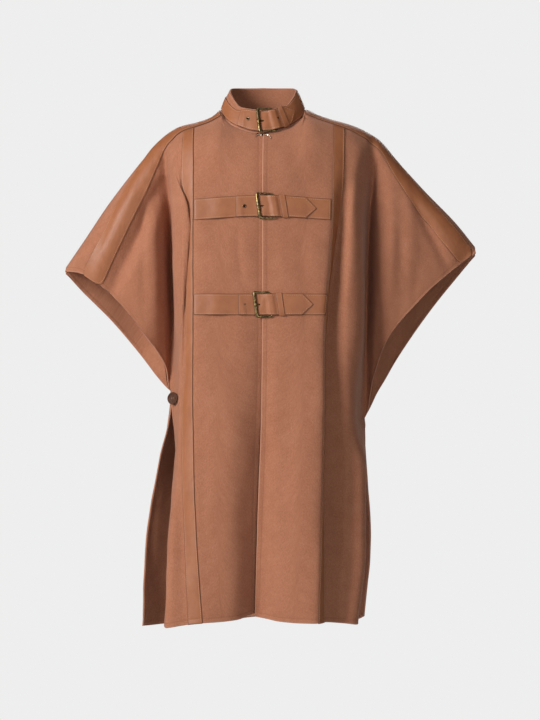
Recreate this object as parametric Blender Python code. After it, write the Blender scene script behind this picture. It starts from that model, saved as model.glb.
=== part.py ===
"""Wool poncho with wide wings, leather strips and three buckled straps.

Frame: X to the wearer's left, the front faces -Y, +Z up. The origin is at the wearer's neck, level
with the side neck points, midway between them. All sizes are in metres.
"""
import math

import bmesh
import bpy
import numpy as np
from mathutils import Vector
from mathutils.bvhtree import BVHTree

WOOL = 0.0026
LEATHER = 0.0012
GAP = 0.0003
STRIP_LIFT = 0.0004
FRONT_STRIP_LIFT = 0.0007
STRAP_BAND = 0.0415
YOKE_LEVEL = -0.150
HEM_REACH = -1.02

NECK_HALF = 0.0838
NECK_FRONT = 0.078
NECK_BACK = 0.068
NECK_EASE = 0.0004

CHEST_STRAP_TOP = -0.1735
WAIST_STRAP_TOP = -0.3665

STRIP_TOP_SHARE = 0.04
SHOULDER_LIFT = 0.0012
HEM_LENGTH_INSIDE = 0.30
SHOULDER_STEPS = 6
SHOULDER_STRIP_END = {"right": 10.95, "left": 11.8}

RIM_HALF = 0.0656
RIM_FRONT = 0.062
RIM_BACK = 0.058
COLLAR_SLIT = 0.4
COLLAR_BAND_LOW = 0.003
COLLAR_RIM_SHOWN = 0.0015
# Angle from the centre front, and the level of the collar's rim there.
COLLAR_RIM = ((0, -0.0010), (40, 0.0065), (65, 0.0270), (90, 0.0450), (125, 0.0510), (180, 0.0535))

# Along a strap, from the centre front towards the wearer's left.
OUTER_BAR = -0.0085
HEEL_BAR = 0.0225
BUCKLE_WIRE = 0.0016
BUCKLE_HEIGHT = 0.0475
BUCKLE_SLANT = 0.0035
TONGUE_UP = STRIP_LIFT + 2 * LEATHER + 2 * GAP
OUTER_BAR_UP = TONGUE_UP + 2 * GAP + BUCKLE_WIRE
HEEL_BAR_UP = STRIP_LIFT + LEATHER + GAP + BUCKLE_WIRE
TONGUE_RISE = 0.0062
TONGUE_BENDS = (0.0052, 0.0074, 0.0097)
PRONG_WIRE = 0.0008
PRONG_HOLE = -0.0015
PRONG_UP = PRONG_WIRE + GAP
STOP_APART = 0.0025
KEEPER_START = 0.0345
KEEPER_WIDTH = 0.0125
EYELET_RADIUS = 0.0030
EYELET_WIRE = 0.0007
BASE_RIGHT_END = -0.020
BASE_LEFT_START = HEEL_BAR + BUCKLE_WIRE + GAP
TIP_LENGTH = 0.021
TIP_SHARE = 0.08
COLLAR_TONGUE = (-0.050, 0.075)
CHEST_TONGUE = (-0.0527, 0.1045)
WAIST_TONGUE = (-0.0480, 0.0980)
COLLAR_SPARE_HOLE = -0.0300
CHEST_SPARE_HOLE = -0.0360
WAIST_SPARE_HOLE = -0.0350
CHEST_REACH = (0.1345, 0.1335)
WAIST_REACH = (0.1345, 0.1255)
PRONG_SLOT = (0.0034, 0.0015)
SPARE_HOLE = (0.0017, 0.0017)

BUTTON_RADIUS = 0.0125
BUTTON_STEM = 0.0020
BUTTON_FOOT = 0.0026
BUTTON_CLEAR = 0.0007
BUTTON_DROP = 0.013
# Panel and guide place that each side button is sewn to; the left one is out of sight from the front.
BUTTON_SEAT = {"right": ("front", 6.55), "left": ("back", 6.20)}

HOOK_WIRE = 0.0008
HOOK_UP = 0.0016
# Guide place and level of the wires' bends.
HOOK = ((0.30, -0.0545), (0.20, -0.0520), (0.10, -0.0510), (0.02, -0.0525))
EYE = ((0.08, -0.0525), (0.16, -0.0515), (0.26, -0.0540), (0.34, -0.0600))

SIDES = {"right": -1, "left": 1}

# Upright guide lines of the body, from the centre edge out to the underarm, and of the wing beyond it.
BODY = ("centre", "chest", "neck", "strip_in", "strip_out", "crest", "turn", "hollow")
# Columns between the guides outside the neck; inside it they stand at these angles round the collar.
COLUMNS_BETWEEN = (3, 2, 3, 3, 3)
BACK_COLUMNS_BETWEEN = (2, 1, 2, 2, 3)
NECK_ANGLES = (15, 30, 44, 57, 69, 80)
NECK_GUIDE = 2
WING_COLUMNS_BETWEEN = (2, 3, 3, 3, 2)

# How far out from the centre line each guide runs, a row for each level.
FRONT_OUT = {
    "right": (
        # level, centre, chest, neck, strip_in, strip_out, crest, turn, hollow
        (-0.05, 0.0012, 0.046, 0.0842, 0.1365, 0.1620, 0.1790, 0.190, 0.1980),
        (-0.12, 0.0019, 0.046, 0.0870, 0.1363, 0.1640, 0.1700, 0.184, 0.1935),
        (-0.20, 0.0019, 0.046, 0.0880, 0.1360, 0.1575, 0.1405, 0.178, 0.1850),
        (-0.30, 0.0019, 0.046, 0.0880, 0.1368, 0.1570, 0.1400, 0.176, 0.1826),
        (-0.42, 0.0023, 0.046, 0.0880, 0.1357, 0.1570, 0.1500, 0.171, 0.1810),
        (-0.49, 0.0030, 0.046, 0.0885, 0.1360, 0.1580, 0.1585, 0.169, 0.1825),
        (-0.56, 0.0040, 0.047, 0.0890, 0.1365, 0.1605, 0.1650, 0.167, 0.1850),
        (-0.70, 0.0089, 0.050, 0.0900, 0.1343, 0.1612, 0.1680, 0.175, 0.1730),
        (-0.85, 0.0138, 0.052, 0.0880, 0.1283, 0.1570, 0.1780, 0.186, 0.1810),
        (-1.02, 0.0179, 0.052, 0.0820, 0.1164, 0.1500, 0.1800, 0.190, 0.1934),
    ),
    "left": (
        (-0.05, 0.0000, 0.046, 0.0842, 0.1385, 0.1659, 0.1900, 0.2050, 0.2165),
        (-0.12, -0.0011, 0.046, 0.0860, 0.1368, 0.1637, 0.1850, 0.2040, 0.2200),
        (-0.20, -0.0011, 0.046, 0.0860, 0.1354, 0.1555, 0.1753, 0.1947, 0.2125),
        (-0.30, -0.0011, 0.046, 0.0850, 0.1304, 0.1406, 0.1714, 0.1925, 0.2085),
        (-0.42, -0.0015, 0.044, 0.0820, 0.1215, 0.1277, 0.1650, 0.1925, 0.2055),
        (-0.60, -0.0042, 0.040, 0.0790, 0.1182, 0.1213, 0.1710, 0.1880, 0.2040),
        (-0.70, -0.0081, 0.036, 0.0760, 0.1166, 0.1197, 0.1745, 0.2010, 0.2035),
        (-0.85, -0.0130, 0.033, 0.0720, 0.1122, 0.1215, 0.1743, 0.2020, 0.2045),
        (-1.02, -0.0171, 0.030, 0.0680, 0.1073, 0.1232, 0.1600, 0.1845, 0.1885),
    ),
}

# How far in front of the shoulder line each guide hangs.
FRONT_DEPTH = {
    "right": (
        # level, centre, chest, neck, strip_in, strip_out, crest, turn, hollow
        (-0.05, 0.120, 0.120, 0.117, 0.112, 0.092, 0.068, 0.052, 0.046),
        (-0.12, 0.122, 0.121, 0.117, 0.108, 0.088, 0.085, 0.060, 0.040),
        (-0.20, 0.128, 0.128, 0.125, 0.119, 0.101, 0.136, 0.088, 0.026),
        (-0.30, 0.133, 0.134, 0.131, 0.125, 0.106, 0.143, 0.090, 0.012),
        (-0.42, 0.136, 0.138, 0.136, 0.131, 0.112, 0.130, 0.080, 0.0040),
        (-0.49, 0.136, 0.140, 0.140, 0.134, 0.113, 0.118, 0.060, 0.0035),
        (-0.56, 0.135, 0.142, 0.143, 0.137, 0.115, 0.110, 0.034, 0.0033),
        (-0.70, 0.130, 0.145, 0.149, 0.144, 0.126, 0.118, 0.085, 0.040),
        (-0.85, 0.120, 0.146, 0.154, 0.152, 0.137, 0.134, 0.118, 0.095),
        (-1.02, 0.106, 0.142, 0.157, 0.160, 0.154, 0.153, 0.148, 0.136),
    ),
    "left": (
        (-0.05, 0.122, 0.121, 0.117, 0.112, 0.098, 0.076, 0.058, 0.046),
        (-0.12, 0.124, 0.122, 0.117, 0.108, 0.094, 0.084, 0.058, 0.038),
        (-0.20, 0.130, 0.130, 0.126, 0.119, 0.097, 0.106, 0.078, 0.022),
        (-0.30, 0.135, 0.137, 0.134, 0.127, 0.099, 0.113, 0.082, 0.008),
        (-0.42, 0.138, 0.142, 0.141, 0.135, 0.105, 0.113, 0.082, 0.0035),
        (-0.60, 0.138, 0.148, 0.151, 0.146, 0.116, 0.108, 0.040, 0.0033),
        (-0.70, 0.134, 0.150, 0.156, 0.151, 0.121, 0.107, 0.075, 0.040),
        (-0.85, 0.126, 0.151, 0.161, 0.159, 0.131, 0.112, 0.086, 0.065),
        (-1.02, 0.114, 0.148, 0.163, 0.167, 0.142, 0.124, 0.105, 0.092),
    ),
}

BACK_OUT = {
    "right": (
        # level, centre, chest, neck, strip_in, strip_out, crest, turn, hollow
        (-0.05, 0.0, 0.046, 0.0842, 0.1365, 0.1580, 0.1790, 0.190, 0.1980),
        (-0.20, 0.0, 0.046, 0.0860, 0.1370, 0.1600, 0.1800, 0.190, 0.1930),
        (-0.35, 0.0, 0.046, 0.0860, 0.1360, 0.1580, 0.1780, 0.188, 0.1850),
        (-0.56, 0.0, 0.047, 0.0880, 0.1340, 0.1560, 0.1760, 0.187, 0.1850),
        (-0.70, 0.0, 0.048, 0.0900, 0.1350, 0.1600, 0.1840, 0.203, 0.2120),
        (-0.85, 0.0, 0.050, 0.0930, 0.1360, 0.1640, 0.1930, 0.219, 0.2340),
        (-1.04, 0.0, 0.052, 0.0960, 0.1380, 0.1680, 0.2010, 0.230, 0.2460),
    ),
    "left": (
        (-0.05, 0.0, 0.046, 0.0842, 0.1385, 0.1659, 0.1900, 0.2050, 0.2165),
        (-0.20, 0.0, 0.046, 0.0860, 0.1380, 0.1650, 0.1880, 0.2010, 0.2120),
        (-0.35, 0.0, 0.045, 0.0850, 0.1350, 0.1610, 0.1850, 0.1980, 0.2050),
        (-0.61, 0.0, 0.044, 0.0830, 0.1300, 0.1540, 0.1780, 0.1950, 0.2020),
        (-0.70, 0.0, 0.044, 0.0830, 0.1290, 0.1540, 0.1790, 0.1990, 0.2090),
        (-0.85, 0.0, 0.044, 0.0840, 0.1290, 0.1540, 0.1800, 0.2050, 0.2180),
        (-1.04, 0.0, 0.044, 0.0840, 0.1280, 0.1500, 0.1740, 0.1930, 0.2040),
    ),
}

BACK_DEPTH = {
    "right": (
        # level, centre, chest, neck, strip_in, strip_out, crest, turn, hollow
        (-0.05, 0.125, 0.124, 0.120, 0.112, 0.098, 0.080, 0.062, 0.052),
        (-0.20, 0.135, 0.135, 0.132, 0.122, 0.112, 0.100, 0.080, 0.050),
        (-0.35, 0.130, 0.134, 0.134, 0.124, 0.112, 0.098, 0.070, 0.026),
        (-0.56, 0.126, 0.134, 0.136, 0.124, 0.110, 0.090, 0.050, 0.0033),
        (-0.70, 0.130, 0.140, 0.142, 0.126, 0.118, 0.104, 0.072, 0.036),
        (-0.85, 0.136, 0.148, 0.148, 0.128, 0.128, 0.120, 0.094, 0.064),
        (-1.04, 0.142, 0.156, 0.154, 0.130, 0.138, 0.134, 0.112, 0.084),
    ),
    "left": (
        (-0.05, 0.125, 0.124, 0.120, 0.112, 0.098, 0.080, 0.062, 0.052),
        (-0.20, 0.135, 0.134, 0.131, 0.124, 0.112, 0.098, 0.078, 0.050),
        (-0.35, 0.130, 0.131, 0.133, 0.128, 0.114, 0.096, 0.068, 0.026),
        (-0.61, 0.126, 0.128, 0.135, 0.130, 0.112, 0.088, 0.046, 0.0033),
        (-0.70, 0.130, 0.130, 0.140, 0.136, 0.116, 0.096, 0.060, 0.028),
        (-0.85, 0.136, 0.134, 0.148, 0.146, 0.124, 0.108, 0.080, 0.054),
        (-1.04, 0.142, 0.138, 0.156, 0.156, 0.132, 0.120, 0.096, 0.074),
    ),
}

# The fold line over the shoulder and down the wing: how far out, and its level.
RIDGE = {
    "right": (
        (0.084, 0.003), (0.097, -0.010), (0.130, -0.0226), (0.163, -0.0306), (0.183, -0.041),
        (0.198, -0.052), (0.212, -0.065), (0.244, -0.100), (0.275, -0.141), (0.317, -0.196),
        (0.367, -0.272), (0.394, -0.311),
    ),
    "left": (
        (0.084, 0.003), (0.108, -0.008), (0.137, -0.0174), (0.167, -0.0256), (0.190, -0.034),
        (0.208, -0.043), (0.235, -0.061), (0.259, -0.088), (0.288, -0.118), (0.319, -0.154),
        (0.363, -0.198), (0.407, -0.248), (0.4246, -0.271),
    ),
}
# Inside the neck the front and the back run on from there to the centre line.
NECK_LINE = {
    "front": ((0.0, -0.0180), (0.055, -0.0165), (0.079, -0.0090)),
    "back": ((0.0, 0.0250),),
}

# Drop over which the cloth rounds away from the fold line at each body guide.
ROUND_DROP = (0.130, 0.130, 0.135, 0.140, 0.125, 0.090, 0.058, 0.050)

# Guides of the wing, a row for each: how far out at the fold line, then at the sleeve hem how far
# out and the level, the depth at the fold, half way and at the hem, and the rounding drop.
FRONT_WING = {
    "right": (
        ("fold", 0.2100, 0.1954, -0.5080, 0.046, 0.045, 0.016, 0.046),
        ("swell", 0.2320, 0.2345, -0.4480, 0.045, 0.064, 0.050, 0.045),
        ("middle", 0.3060, 0.3005, -0.3686, 0.040, 0.050, 0.046, 0.040),
        ("outer", 0.3580, 0.3575, -0.3262, 0.034, 0.038, 0.034, 0.034),
        ("tip", 0.3940, 0.3950, -0.3190, 0.028, 0.028, 0.028, 0.030),
    ),
    "left": (
        ("fold", 0.2320, 0.2215, -0.5280, 0.046, 0.048, 0.022, 0.046),
        ("swell", 0.2594, 0.2501, -0.4523, 0.045, 0.060, 0.046, 0.045),
        ("middle", 0.3240, 0.3291, -0.3600, 0.040, 0.048, 0.044, 0.040),
        ("outer", 0.3840, 0.3800, -0.3160, 0.034, 0.036, 0.032, 0.034),
        ("tip", 0.4240, 0.4240, -0.2830, 0.028, 0.028, 0.028, 0.030),
    ),
}
BACK_WING = {
    "right": (
        ("fold", 0.2100, 0.2072, -0.5357, 0.052, 0.044, 0.016, 0.046),
        ("swell", 0.2320, 0.2443, -0.4895, 0.050, 0.058, 0.044, 0.045),
        ("middle", 0.3060, 0.3044, -0.4194, 0.044, 0.050, 0.044, 0.040),
        ("outer", 0.3580, 0.3628, -0.3596, 0.034, 0.038, 0.034, 0.034),
        ("tip", 0.3940, 0.3960, -0.3225, 0.028, 0.028, 0.028, 0.030),
    ),
    "left": (
        ("fold", 0.2320, 0.2299, -0.5613, 0.052, 0.044, 0.016, 0.046),
        ("swell", 0.2594, 0.2698, -0.4950, 0.050, 0.056, 0.044, 0.045),
        ("middle", 0.3240, 0.3383, -0.3963, 0.044, 0.050, 0.044, 0.040),
        ("outer", 0.3840, 0.3866, -0.3353, 0.034, 0.036, 0.032, 0.034),
        ("tip", 0.4240, 0.4255, -0.2870, 0.028, 0.028, 0.028, 0.030),
    ),
}

# Edges of each shoulder strip, as lengths from the fold line, a row for each guide place.
SHOULDER_STRIP_EDGES = {
    "right": (
        (2.0, 0.002, 0.042), (5.0, 0.001, 0.046), (7.0, 0.000, 0.052), (8.0, 0.001, 0.072),
        (9.2, 0.026, 0.114), (9.6, 0.044, 0.132), (10.3, 0.068, 0.165), (11.0, 0.084, 0.200),
    ),
    "left": (
        (2.0, 0.002, 0.042), (5.0, 0.001, 0.046), (7.0, 0.001, 0.044), (8.0, 0.003, 0.047),
        (9.0, 0.016, 0.066), (10.0, 0.030, 0.088), (11.0, 0.032, 0.091), (12.0, 0.030, 0.095),
    ),
}

# Level, and how far short of its outer guide a front strip stops, as a share of its outer half.
STRIP_SHORT = {
    "right": ((-1.02, 0.30), (-0.60, 0.35), (-0.50, 0.90), (-0.20, 0.95), (-0.14, 0.35)),
    "left": ((-1.02, 0.35), (-0.14, 0.35)),
}

UNDERARM = {"right": -0.560, "left": -0.612}
UNDERARM_SHARE = (0.0, 0.0, 0.0, 0.0, 0.15, 0.4, 0.7, 1.0)
UNDERARM_LEVEL = -0.560
# How much lower than at the centre the chest strap runs at each guide, and the levels that share in it.
CHEST_SAG = (0.0, 0.0012, 0.0040, 0.0070, 0.0075, 0.0060, 0.0, 0.0)
SAG_SHARE = ((-0.370, 0.0), (-0.300, 0.35), (-0.230, 1.0), (-0.160, 1.0), (-0.110, 0.6))
HEM_LEVEL = {
    # centre, chest, neck, strip_in, strip_out, crest, turn, hollow
    "front": {
        "right": (-0.9943, -1.0040, -1.0070, -1.0091, -1.0130, -1.0180, -1.0194, -1.0170),
        "left": (-0.9998, -1.0070, -1.0090, -1.0092, -1.0087, -1.0130, -1.0165, -1.0170),
    },
    "back": {
        "right": (-1.0300, -1.0310, -1.0320, -1.0330, -1.0340, -1.0350, -1.0360, -1.0350),
        "left": (-1.0300, -1.0300, -1.0300, -1.0300, -1.0290, -1.0270, -1.0230, -1.0150),
    },
}

FRONT_LEVELS = (
    YOKE_LEVEL, CHEST_STRAP_TOP, CHEST_STRAP_TOP - STRAP_BAND / 2, CHEST_STRAP_TOP - STRAP_BAND,
    -0.250, -0.290, -0.330, WAIST_STRAP_TOP, WAIST_STRAP_TOP - STRAP_BAND / 2,
    WAIST_STRAP_TOP - STRAP_BAND, -0.455, -0.505, UNDERARM_LEVEL,
    -0.63, -0.70, -0.77, -0.84, -0.91, -0.97, HEM_REACH,
)
BACK_LEVELS = (
    YOKE_LEVEL, -0.20, -0.25, -0.30, -0.36, -0.42, -0.49, UNDERARM_LEVEL,
    -0.64, -0.73, -0.83, -0.93, HEM_REACH,
)
YOKE_ROWS = {"front": 7, "back": 7}
ROWS_UNDER_STRIP = 3


def smooth_between(knots, values, at):
    """Value of a curve through the table's rows, which never runs past a row's own value."""
    if at <= knots[0]:
        return values[0]
    if at >= knots[-1]:
        return values[-1]
    last = len(knots) - 2
    k = min(max(i for i in range(len(knots) - 1) if knots[i] <= at), last)
    steps = [knots[i + 1] - knots[i] for i in range(len(knots) - 1)]
    rises = [(values[i + 1] - values[i]) / steps[i] for i in range(len(steps))]

    def slope(i):
        if i == 0 or i == len(steps):
            return rises[0] if i == 0 else rises[-1]
        if rises[i - 1] * rises[i] <= 0:
            return 0.0
        before = 2 * steps[i] + steps[i - 1]
        after = steps[i] + 2 * steps[i - 1]
        return (before + after) / (before / rises[i - 1] + after / rises[i])

    t = (at - knots[k]) / steps[k]
    return (
        values[k] * (1 + 2 * t) * (1 - t) ** 2
        + steps[k] * slope(k) * t * (1 - t) ** 2
        + values[k + 1] * t * t * (3 - 2 * t)
        + steps[k] * slope(k + 1) * t * t * (t - 1)
    )


def curve_point(points, at):
    """Point on a round curve through a list of points; a whole number is a point of the list."""
    points = [np.asarray(p, float) for p in points]
    i = min(int(at), len(points) - 2)
    share = at - i
    first, second = points[i], points[i + 1]
    before = points[i - 1] if i > 0 else 2 * first - second
    after = points[i + 2] if i + 2 < len(points) else 2 * second - first
    knots = [0.0]
    for start, end in ((before, first), (first, second), (second, after)):
        knots.append(knots[-1] + max(np.linalg.norm(end - start), 1e-6) ** 0.5)
    t = knots[1] + share * (knots[2] - knots[1])

    def blend(p, q, low, high):
        return ((high - t) * p + (t - low) * q) / (high - low)

    a1 = blend(before, first, knots[0], knots[1])
    a2 = blend(first, second, knots[1], knots[2])
    a3 = blend(second, after, knots[2], knots[3])
    b1 = blend(a1, a2, knots[0], knots[2])
    b2 = blend(a2, a3, knots[1], knots[3])
    return blend(b1, b2, knots[1], knots[2])


def table_column(table, guide, level):
    """Value of one guide of a table at a level."""
    rows = sorted(table)
    return smooth_between([r[0] for r in rows], [r[guide + 1] for r in rows], level)


def ridge_level(side, out, face):
    """Level of the fold line; inside the neck it runs on level with the collar's seam."""
    rows = NECK_LINE[face] + RIDGE[side]
    return smooth_between([r[0] for r in rows], [r[1] for r in rows], out)


def turn_at(drop, rounding):
    """Angle turned over the shoulder at a drop below the fold line; it grows on past a right angle."""
    if drop < rounding:
        return math.acos(1 - max(drop, 0.0) / rounding)
    return math.pi / 2 + (drop - rounding) / rounding


def drop_at(angle, rounding):
    """Drop below the fold line at an angle turned over the shoulder."""
    if angle < math.pi / 2:
        return rounding * (1 - math.cos(angle))
    return rounding + rounding * (angle - math.pi / 2)


def body_section(side, face, level):
    """Out and depth of each guide at a level, and of the wing's first guide beyond them."""
    out = (FRONT_OUT if face == "front" else BACK_OUT)[side]
    depth = (FRONT_DEPTH if face == "front" else BACK_DEPTH)[side]
    points = [(table_column(out, g, level), table_column(depth, g, level)) for g in range(len(BODY))]
    wing = (FRONT_WING if face == "front" else BACK_WING)[side]
    if level > UNDERARM[side]:
        _, ridge_out, hem_out, hem, top, half, end, _ = wing[0]
        share = min(max((level + 0.06) / (hem + 0.06), 0.0), 1.0)
        beyond = ridge_out + (hem_out - ridge_out) * share
        points.append((beyond, smooth_between((0.0, 0.5, 1.0), (top, half, end), share)))
    return points


def side_level(side, face, guide, level):
    """Level of a row at a guide: the chest strap's rows sag, and one row ends at the underarm."""
    share = curve_point([(s,) for s in UNDERARM_SHARE], guide)[0]
    shift = UNDERARM[side] - UNDERARM_LEVEL
    if face == "front":
        weight = smooth_between([row[0] for row in SAG_SHARE], [row[1] for row in SAG_SHARE], level)
        level -= weight * curve_point([(sag,) for sag in CHEST_SAG], guide)[0]
    if level > UNDERARM_LEVEL:
        return level + shift * share * (level - YOKE_LEVEL) / (UNDERARM_LEVEL - YOKE_LEVEL)
    return level + shift * share * (HEM_REACH - level) / (HEM_REACH - UNDERARM_LEVEL)


def body_point(side, face, guide, level=None, angle=None):
    """Point of the body's outer face on a guide line, at a level or at an angle over the shoulder."""
    rounding = curve_point([(r,) for r in ROUND_DROP], guide)[0]
    top_out = curve_point(body_section(side, face, YOKE_LEVEL / 3), guide)[0]
    ridge = ridge_level(side, top_out, face)
    forward = face == "front"
    if angle is not None:
        level = ridge - drop_at(abs(angle), rounding)
    turned = turn_at(ridge - level, rounding)
    out, depth = curve_point(body_section(side, face, level), guide)
    y = depth * math.sin(min(turned, math.pi / 2))
    return np.array((SIDES[side] * out, -y if forward else y, level))


def strip_edges(side, place):
    """Lengths over the shoulder, from the fold line, of the shoulder strip's back and front edge."""
    rows = SHOULDER_STRIP_EDGES[side]
    places = [r[0] for r in rows]
    return tuple(smooth_between(places, [r[k] for r in rows], place) for k in (1, 2))


def neck_angle(side, face, guide):
    """Angle over the shoulder at which a guide starts: on the neck line, or on the fold line."""
    top_out, depth = curve_point(body_section(side, face, YOKE_LEVEL / 3), guide)
    half = NECK_HALF + NECK_EASE
    if top_out >= half - 0.0001:
        return 0.0
    reach = (NECK_FRONT if face == "front" else NECK_BACK) + NECK_EASE
    return math.asin(reach * math.sqrt(1 - (top_out / half) ** 2) / depth)


def seam_angle(depth):
    """Angle of the shoulder seam, half a gap off the fold line."""
    return math.asin(GAP / 2 / depth)


def hem_point_level(side, face, guide):
    return curve_point([(h,) for h in HEM_LEVEL[face][side]], guide)[0]


def yoke_angles(side, face, guide, start, end):
    """Angles of the rows above the yoke level; one of them is the shoulder strip's front edge."""
    rest = YOKE_ROWS[face] - ROWS_UNDER_STRIP
    if guide < NECK_GUIDE or face == "back":
        edge = start + (end - start) * ROWS_UNDER_STRIP / YOKE_ROWS[face]
    else:
        front_edge = strip_edges(side, guide)[1]
        edge = front_edge / curve_point(body_section(side, face, YOKE_LEVEL / 3), guide)[1]
    under = [start + (edge - start) * k / ROWS_UNDER_STRIP for k in range(ROWS_UNDER_STRIP)]
    return under + [edge + (end - edge) * k / rest for k in range(rest)]


def body_rows(side, face, guide):
    """Points of one upright line of the body, from the neck or the shoulder seam to the hem."""
    levels = FRONT_LEVELS if face == "front" else BACK_LEVELS
    top_depth = curve_point(body_section(side, face, YOKE_LEVEL / 3), guide)[1]
    start = max(neck_angle(side, face, guide), seam_angle(top_depth))
    rounding = curve_point([(r,) for r in ROUND_DROP], guide)[0]
    top_out = curve_point(body_section(side, face, YOKE_LEVEL / 3), guide)[0]
    ridge = ridge_level(side, top_out, face)
    end = turn_at(ridge - side_level(side, face, guide, YOKE_LEVEL), rounding)
    rows = [body_point(side, face, guide, angle=a) for a in yoke_angles(side, face, guide, start, end)]
    hem = hem_point_level(side, face, guide)
    for level in levels:
        below = side_level(side, face, guide, level)
        if level < UNDERARM_LEVEL:
            under = side_level(side, face, guide, UNDERARM_LEVEL)
            below = under + (hem - under) * (level - UNDERARM_LEVEL) / (HEM_REACH - UNDERARM_LEVEL)
        rows.append(body_point(side, face, guide, level=below))
    return rows


def turned_shares(side, face):
    """How far down the wing each row lies, as a share of the angle from seam to sleeve hem."""
    hollow = len(BODY) - 1
    levels = FRONT_LEVELS if face == "front" else BACK_LEVELS
    rounding = ROUND_DROP[hollow]
    top_out, top_depth = body_section(side, face, YOKE_LEVEL / 3)[hollow]
    ridge = ridge_level(side, top_out, face)
    start = seam_angle(top_depth)
    yoke = turn_at(ridge - side_level(side, face, hollow, YOKE_LEVEL), rounding)
    angles = yoke_angles(side, face, float(hollow), start, yoke)
    for level in levels:
        if level >= UNDERARM_LEVEL:
            angles.append(turn_at(ridge - side_level(side, face, hollow, level), rounding))
    return [(a - start) / (angles[-1] - start) for a in angles]


def wing_guide_point(side, face, row, share):
    """Point of one wing guide at a share of the angle between the seam and the sleeve hem."""
    _, ridge_out, hem_out, hem, top, half, end, rounding = row
    ridge = ridge_level(side, ridge_out, face)
    start = seam_angle(top)
    whole = turn_at(ridge - hem, rounding)
    angle = start + (whole - start) * share
    drop = drop_at(angle, rounding)
    down = drop / (ridge - hem)
    out = ridge_out + (hem_out - ridge_out) * down
    depth = smooth_between((0.0, 0.5, 1.0), (top, half, end), down)
    y = depth * math.sin(min(angle, math.pi / 2))
    return np.array((SIDES[side] * out, -y if face == "front" else y, ridge - drop))


def wing_net(side, face, hollow_rows, turn_rows):
    """Rows of wing guide points, each starting with the turn and hollow points of the body."""
    wing = (FRONT_WING if face == "front" else BACK_WING)[side]
    net = []
    for k, share in enumerate(turned_shares(side, face)):
        guides = [wing_guide_point(side, face, row, share) for row in wing]
        net.append([turn_rows[k], hollow_rows[k]] + guides)
    return net


def place_at_top(side, face, out):
    """Guide place inside the neck whose line starts this far out."""
    low, high = 0.0, float(NECK_GUIDE)
    section = body_section(side, face, YOKE_LEVEL / 3)
    for _ in range(30):
        middle = (low + high) / 2
        if curve_point(section, middle)[0] < out:
            low = middle
        else:
            high = middle
    return (low + high) / 2


def column_places(counts, first=0):
    """Guide places of the columns: each stretch between two guides is cut into its count."""
    places = [float(first + g) + k / n for g, n in enumerate(counts) for k in range(n)]
    return places + [float(first + len(counts))]


def body_places(side, face):
    """Guide places of the body's columns; those inside the neck meet the collar's own columns."""
    half = NECK_HALF + NECK_EASE
    neck = [place_at_top(side, face, half * math.sin(math.radians(a))) for a in NECK_ANGLES]
    counts = COLUMNS_BETWEEN if face == "front" else BACK_COLUMNS_BETWEEN
    return [0.0] + neck + column_places(counts, NECK_GUIDE)


def column_of(guide):
    """Number of the front column that stands on a guide."""
    return 1 + len(NECK_ANGLES) + sum(COLUMNS_BETWEEN[:BODY.index(guide) - NECK_GUIDE])


def half_panel(side, face):
    """Grid of one side of a panel: body columns from neck to hem, wing columns to the sleeve hem."""
    columns = [body_rows(side, face, place) for place in body_places(side, face)]
    turn = body_rows(side, face, float(len(BODY) - 2))
    net = wing_net(side, face, columns[-1], turn)
    for place in column_places(WING_COLUMNS_BETWEEN)[1:]:
        columns.append([curve_point(row, place + 1) for row in net])
    return columns


def grid_normals(columns, mirrored=False, seam=None):
    """Outward unit normals of a grid of columns, from its top rows down and towards +X, or mirrored.

    Along a shoulder seam the cloth runs level over the fold line, in the direction given by seam.
    """
    normals = []
    for c, column in enumerate(columns):
        line = []
        for r, point in enumerate(column):
            left = columns[c - 1] if c > 0 and r < len(columns[c - 1]) else column
            right = columns[c + 1] if c + 1 < len(columns) and r < len(columns[c + 1]) else column
            across = right[r] - left[r]
            down = column[min(r + 1, len(column) - 1)] - column[max(r - 1, 0)]
            if r == 0 and seam is not None and abs(point[0]) > NECK_HALF:
                down = np.array(seam)
            normal = np.cross(across, down) if mirrored else np.cross(down, across)
            length = np.linalg.norm(normal)
            line.append(normal / length if length > 1e-12 else np.array((0.0, -1.0, 0.0)))
        normals.append(line)
    return normals


def material(name, colour, roughness, metallic=0.0):
    made = bpy.data.materials.get(name)
    if made:
        return made
    made = bpy.data.materials.new(name)
    made.use_nodes = True
    shader = made.node_tree.nodes["Principled BSDF"]
    shader.inputs["Base Color"].default_value = (*colour, 1.0)
    shader.inputs["Roughness"].default_value = roughness
    shader.inputs["Metallic"].default_value = metallic
    made.diffuse_color = (*colour, 1.0)
    return made


def wool():
    return material("camel_wool", (0.40, 0.19, 0.11), 0.9)


def tan_leather():
    return material("tan_leather", (0.42, 0.17, 0.07), 0.5)


def aged_brass():
    return material("aged_brass", (0.45, 0.31, 0.14), 0.35, 1.0)


def horn():
    return material("brown_horn", (0.13, 0.06, 0.035), 0.4)


def new_object(name, mesh, finish, collection):
    made = bpy.data.objects.new(name, mesh)
    mesh.materials.append(finish)
    mesh.shade_smooth()
    mesh.set_sharp_from_angle(angle=math.radians(50))
    collection.objects.link(made)
    return made


def halves(top, low, far_low, far_top):
    """The two triangles of a grid cell, always cut from its first top corner to its far low one."""
    return (top, low, far_low), (top, far_low, far_top)


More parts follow.
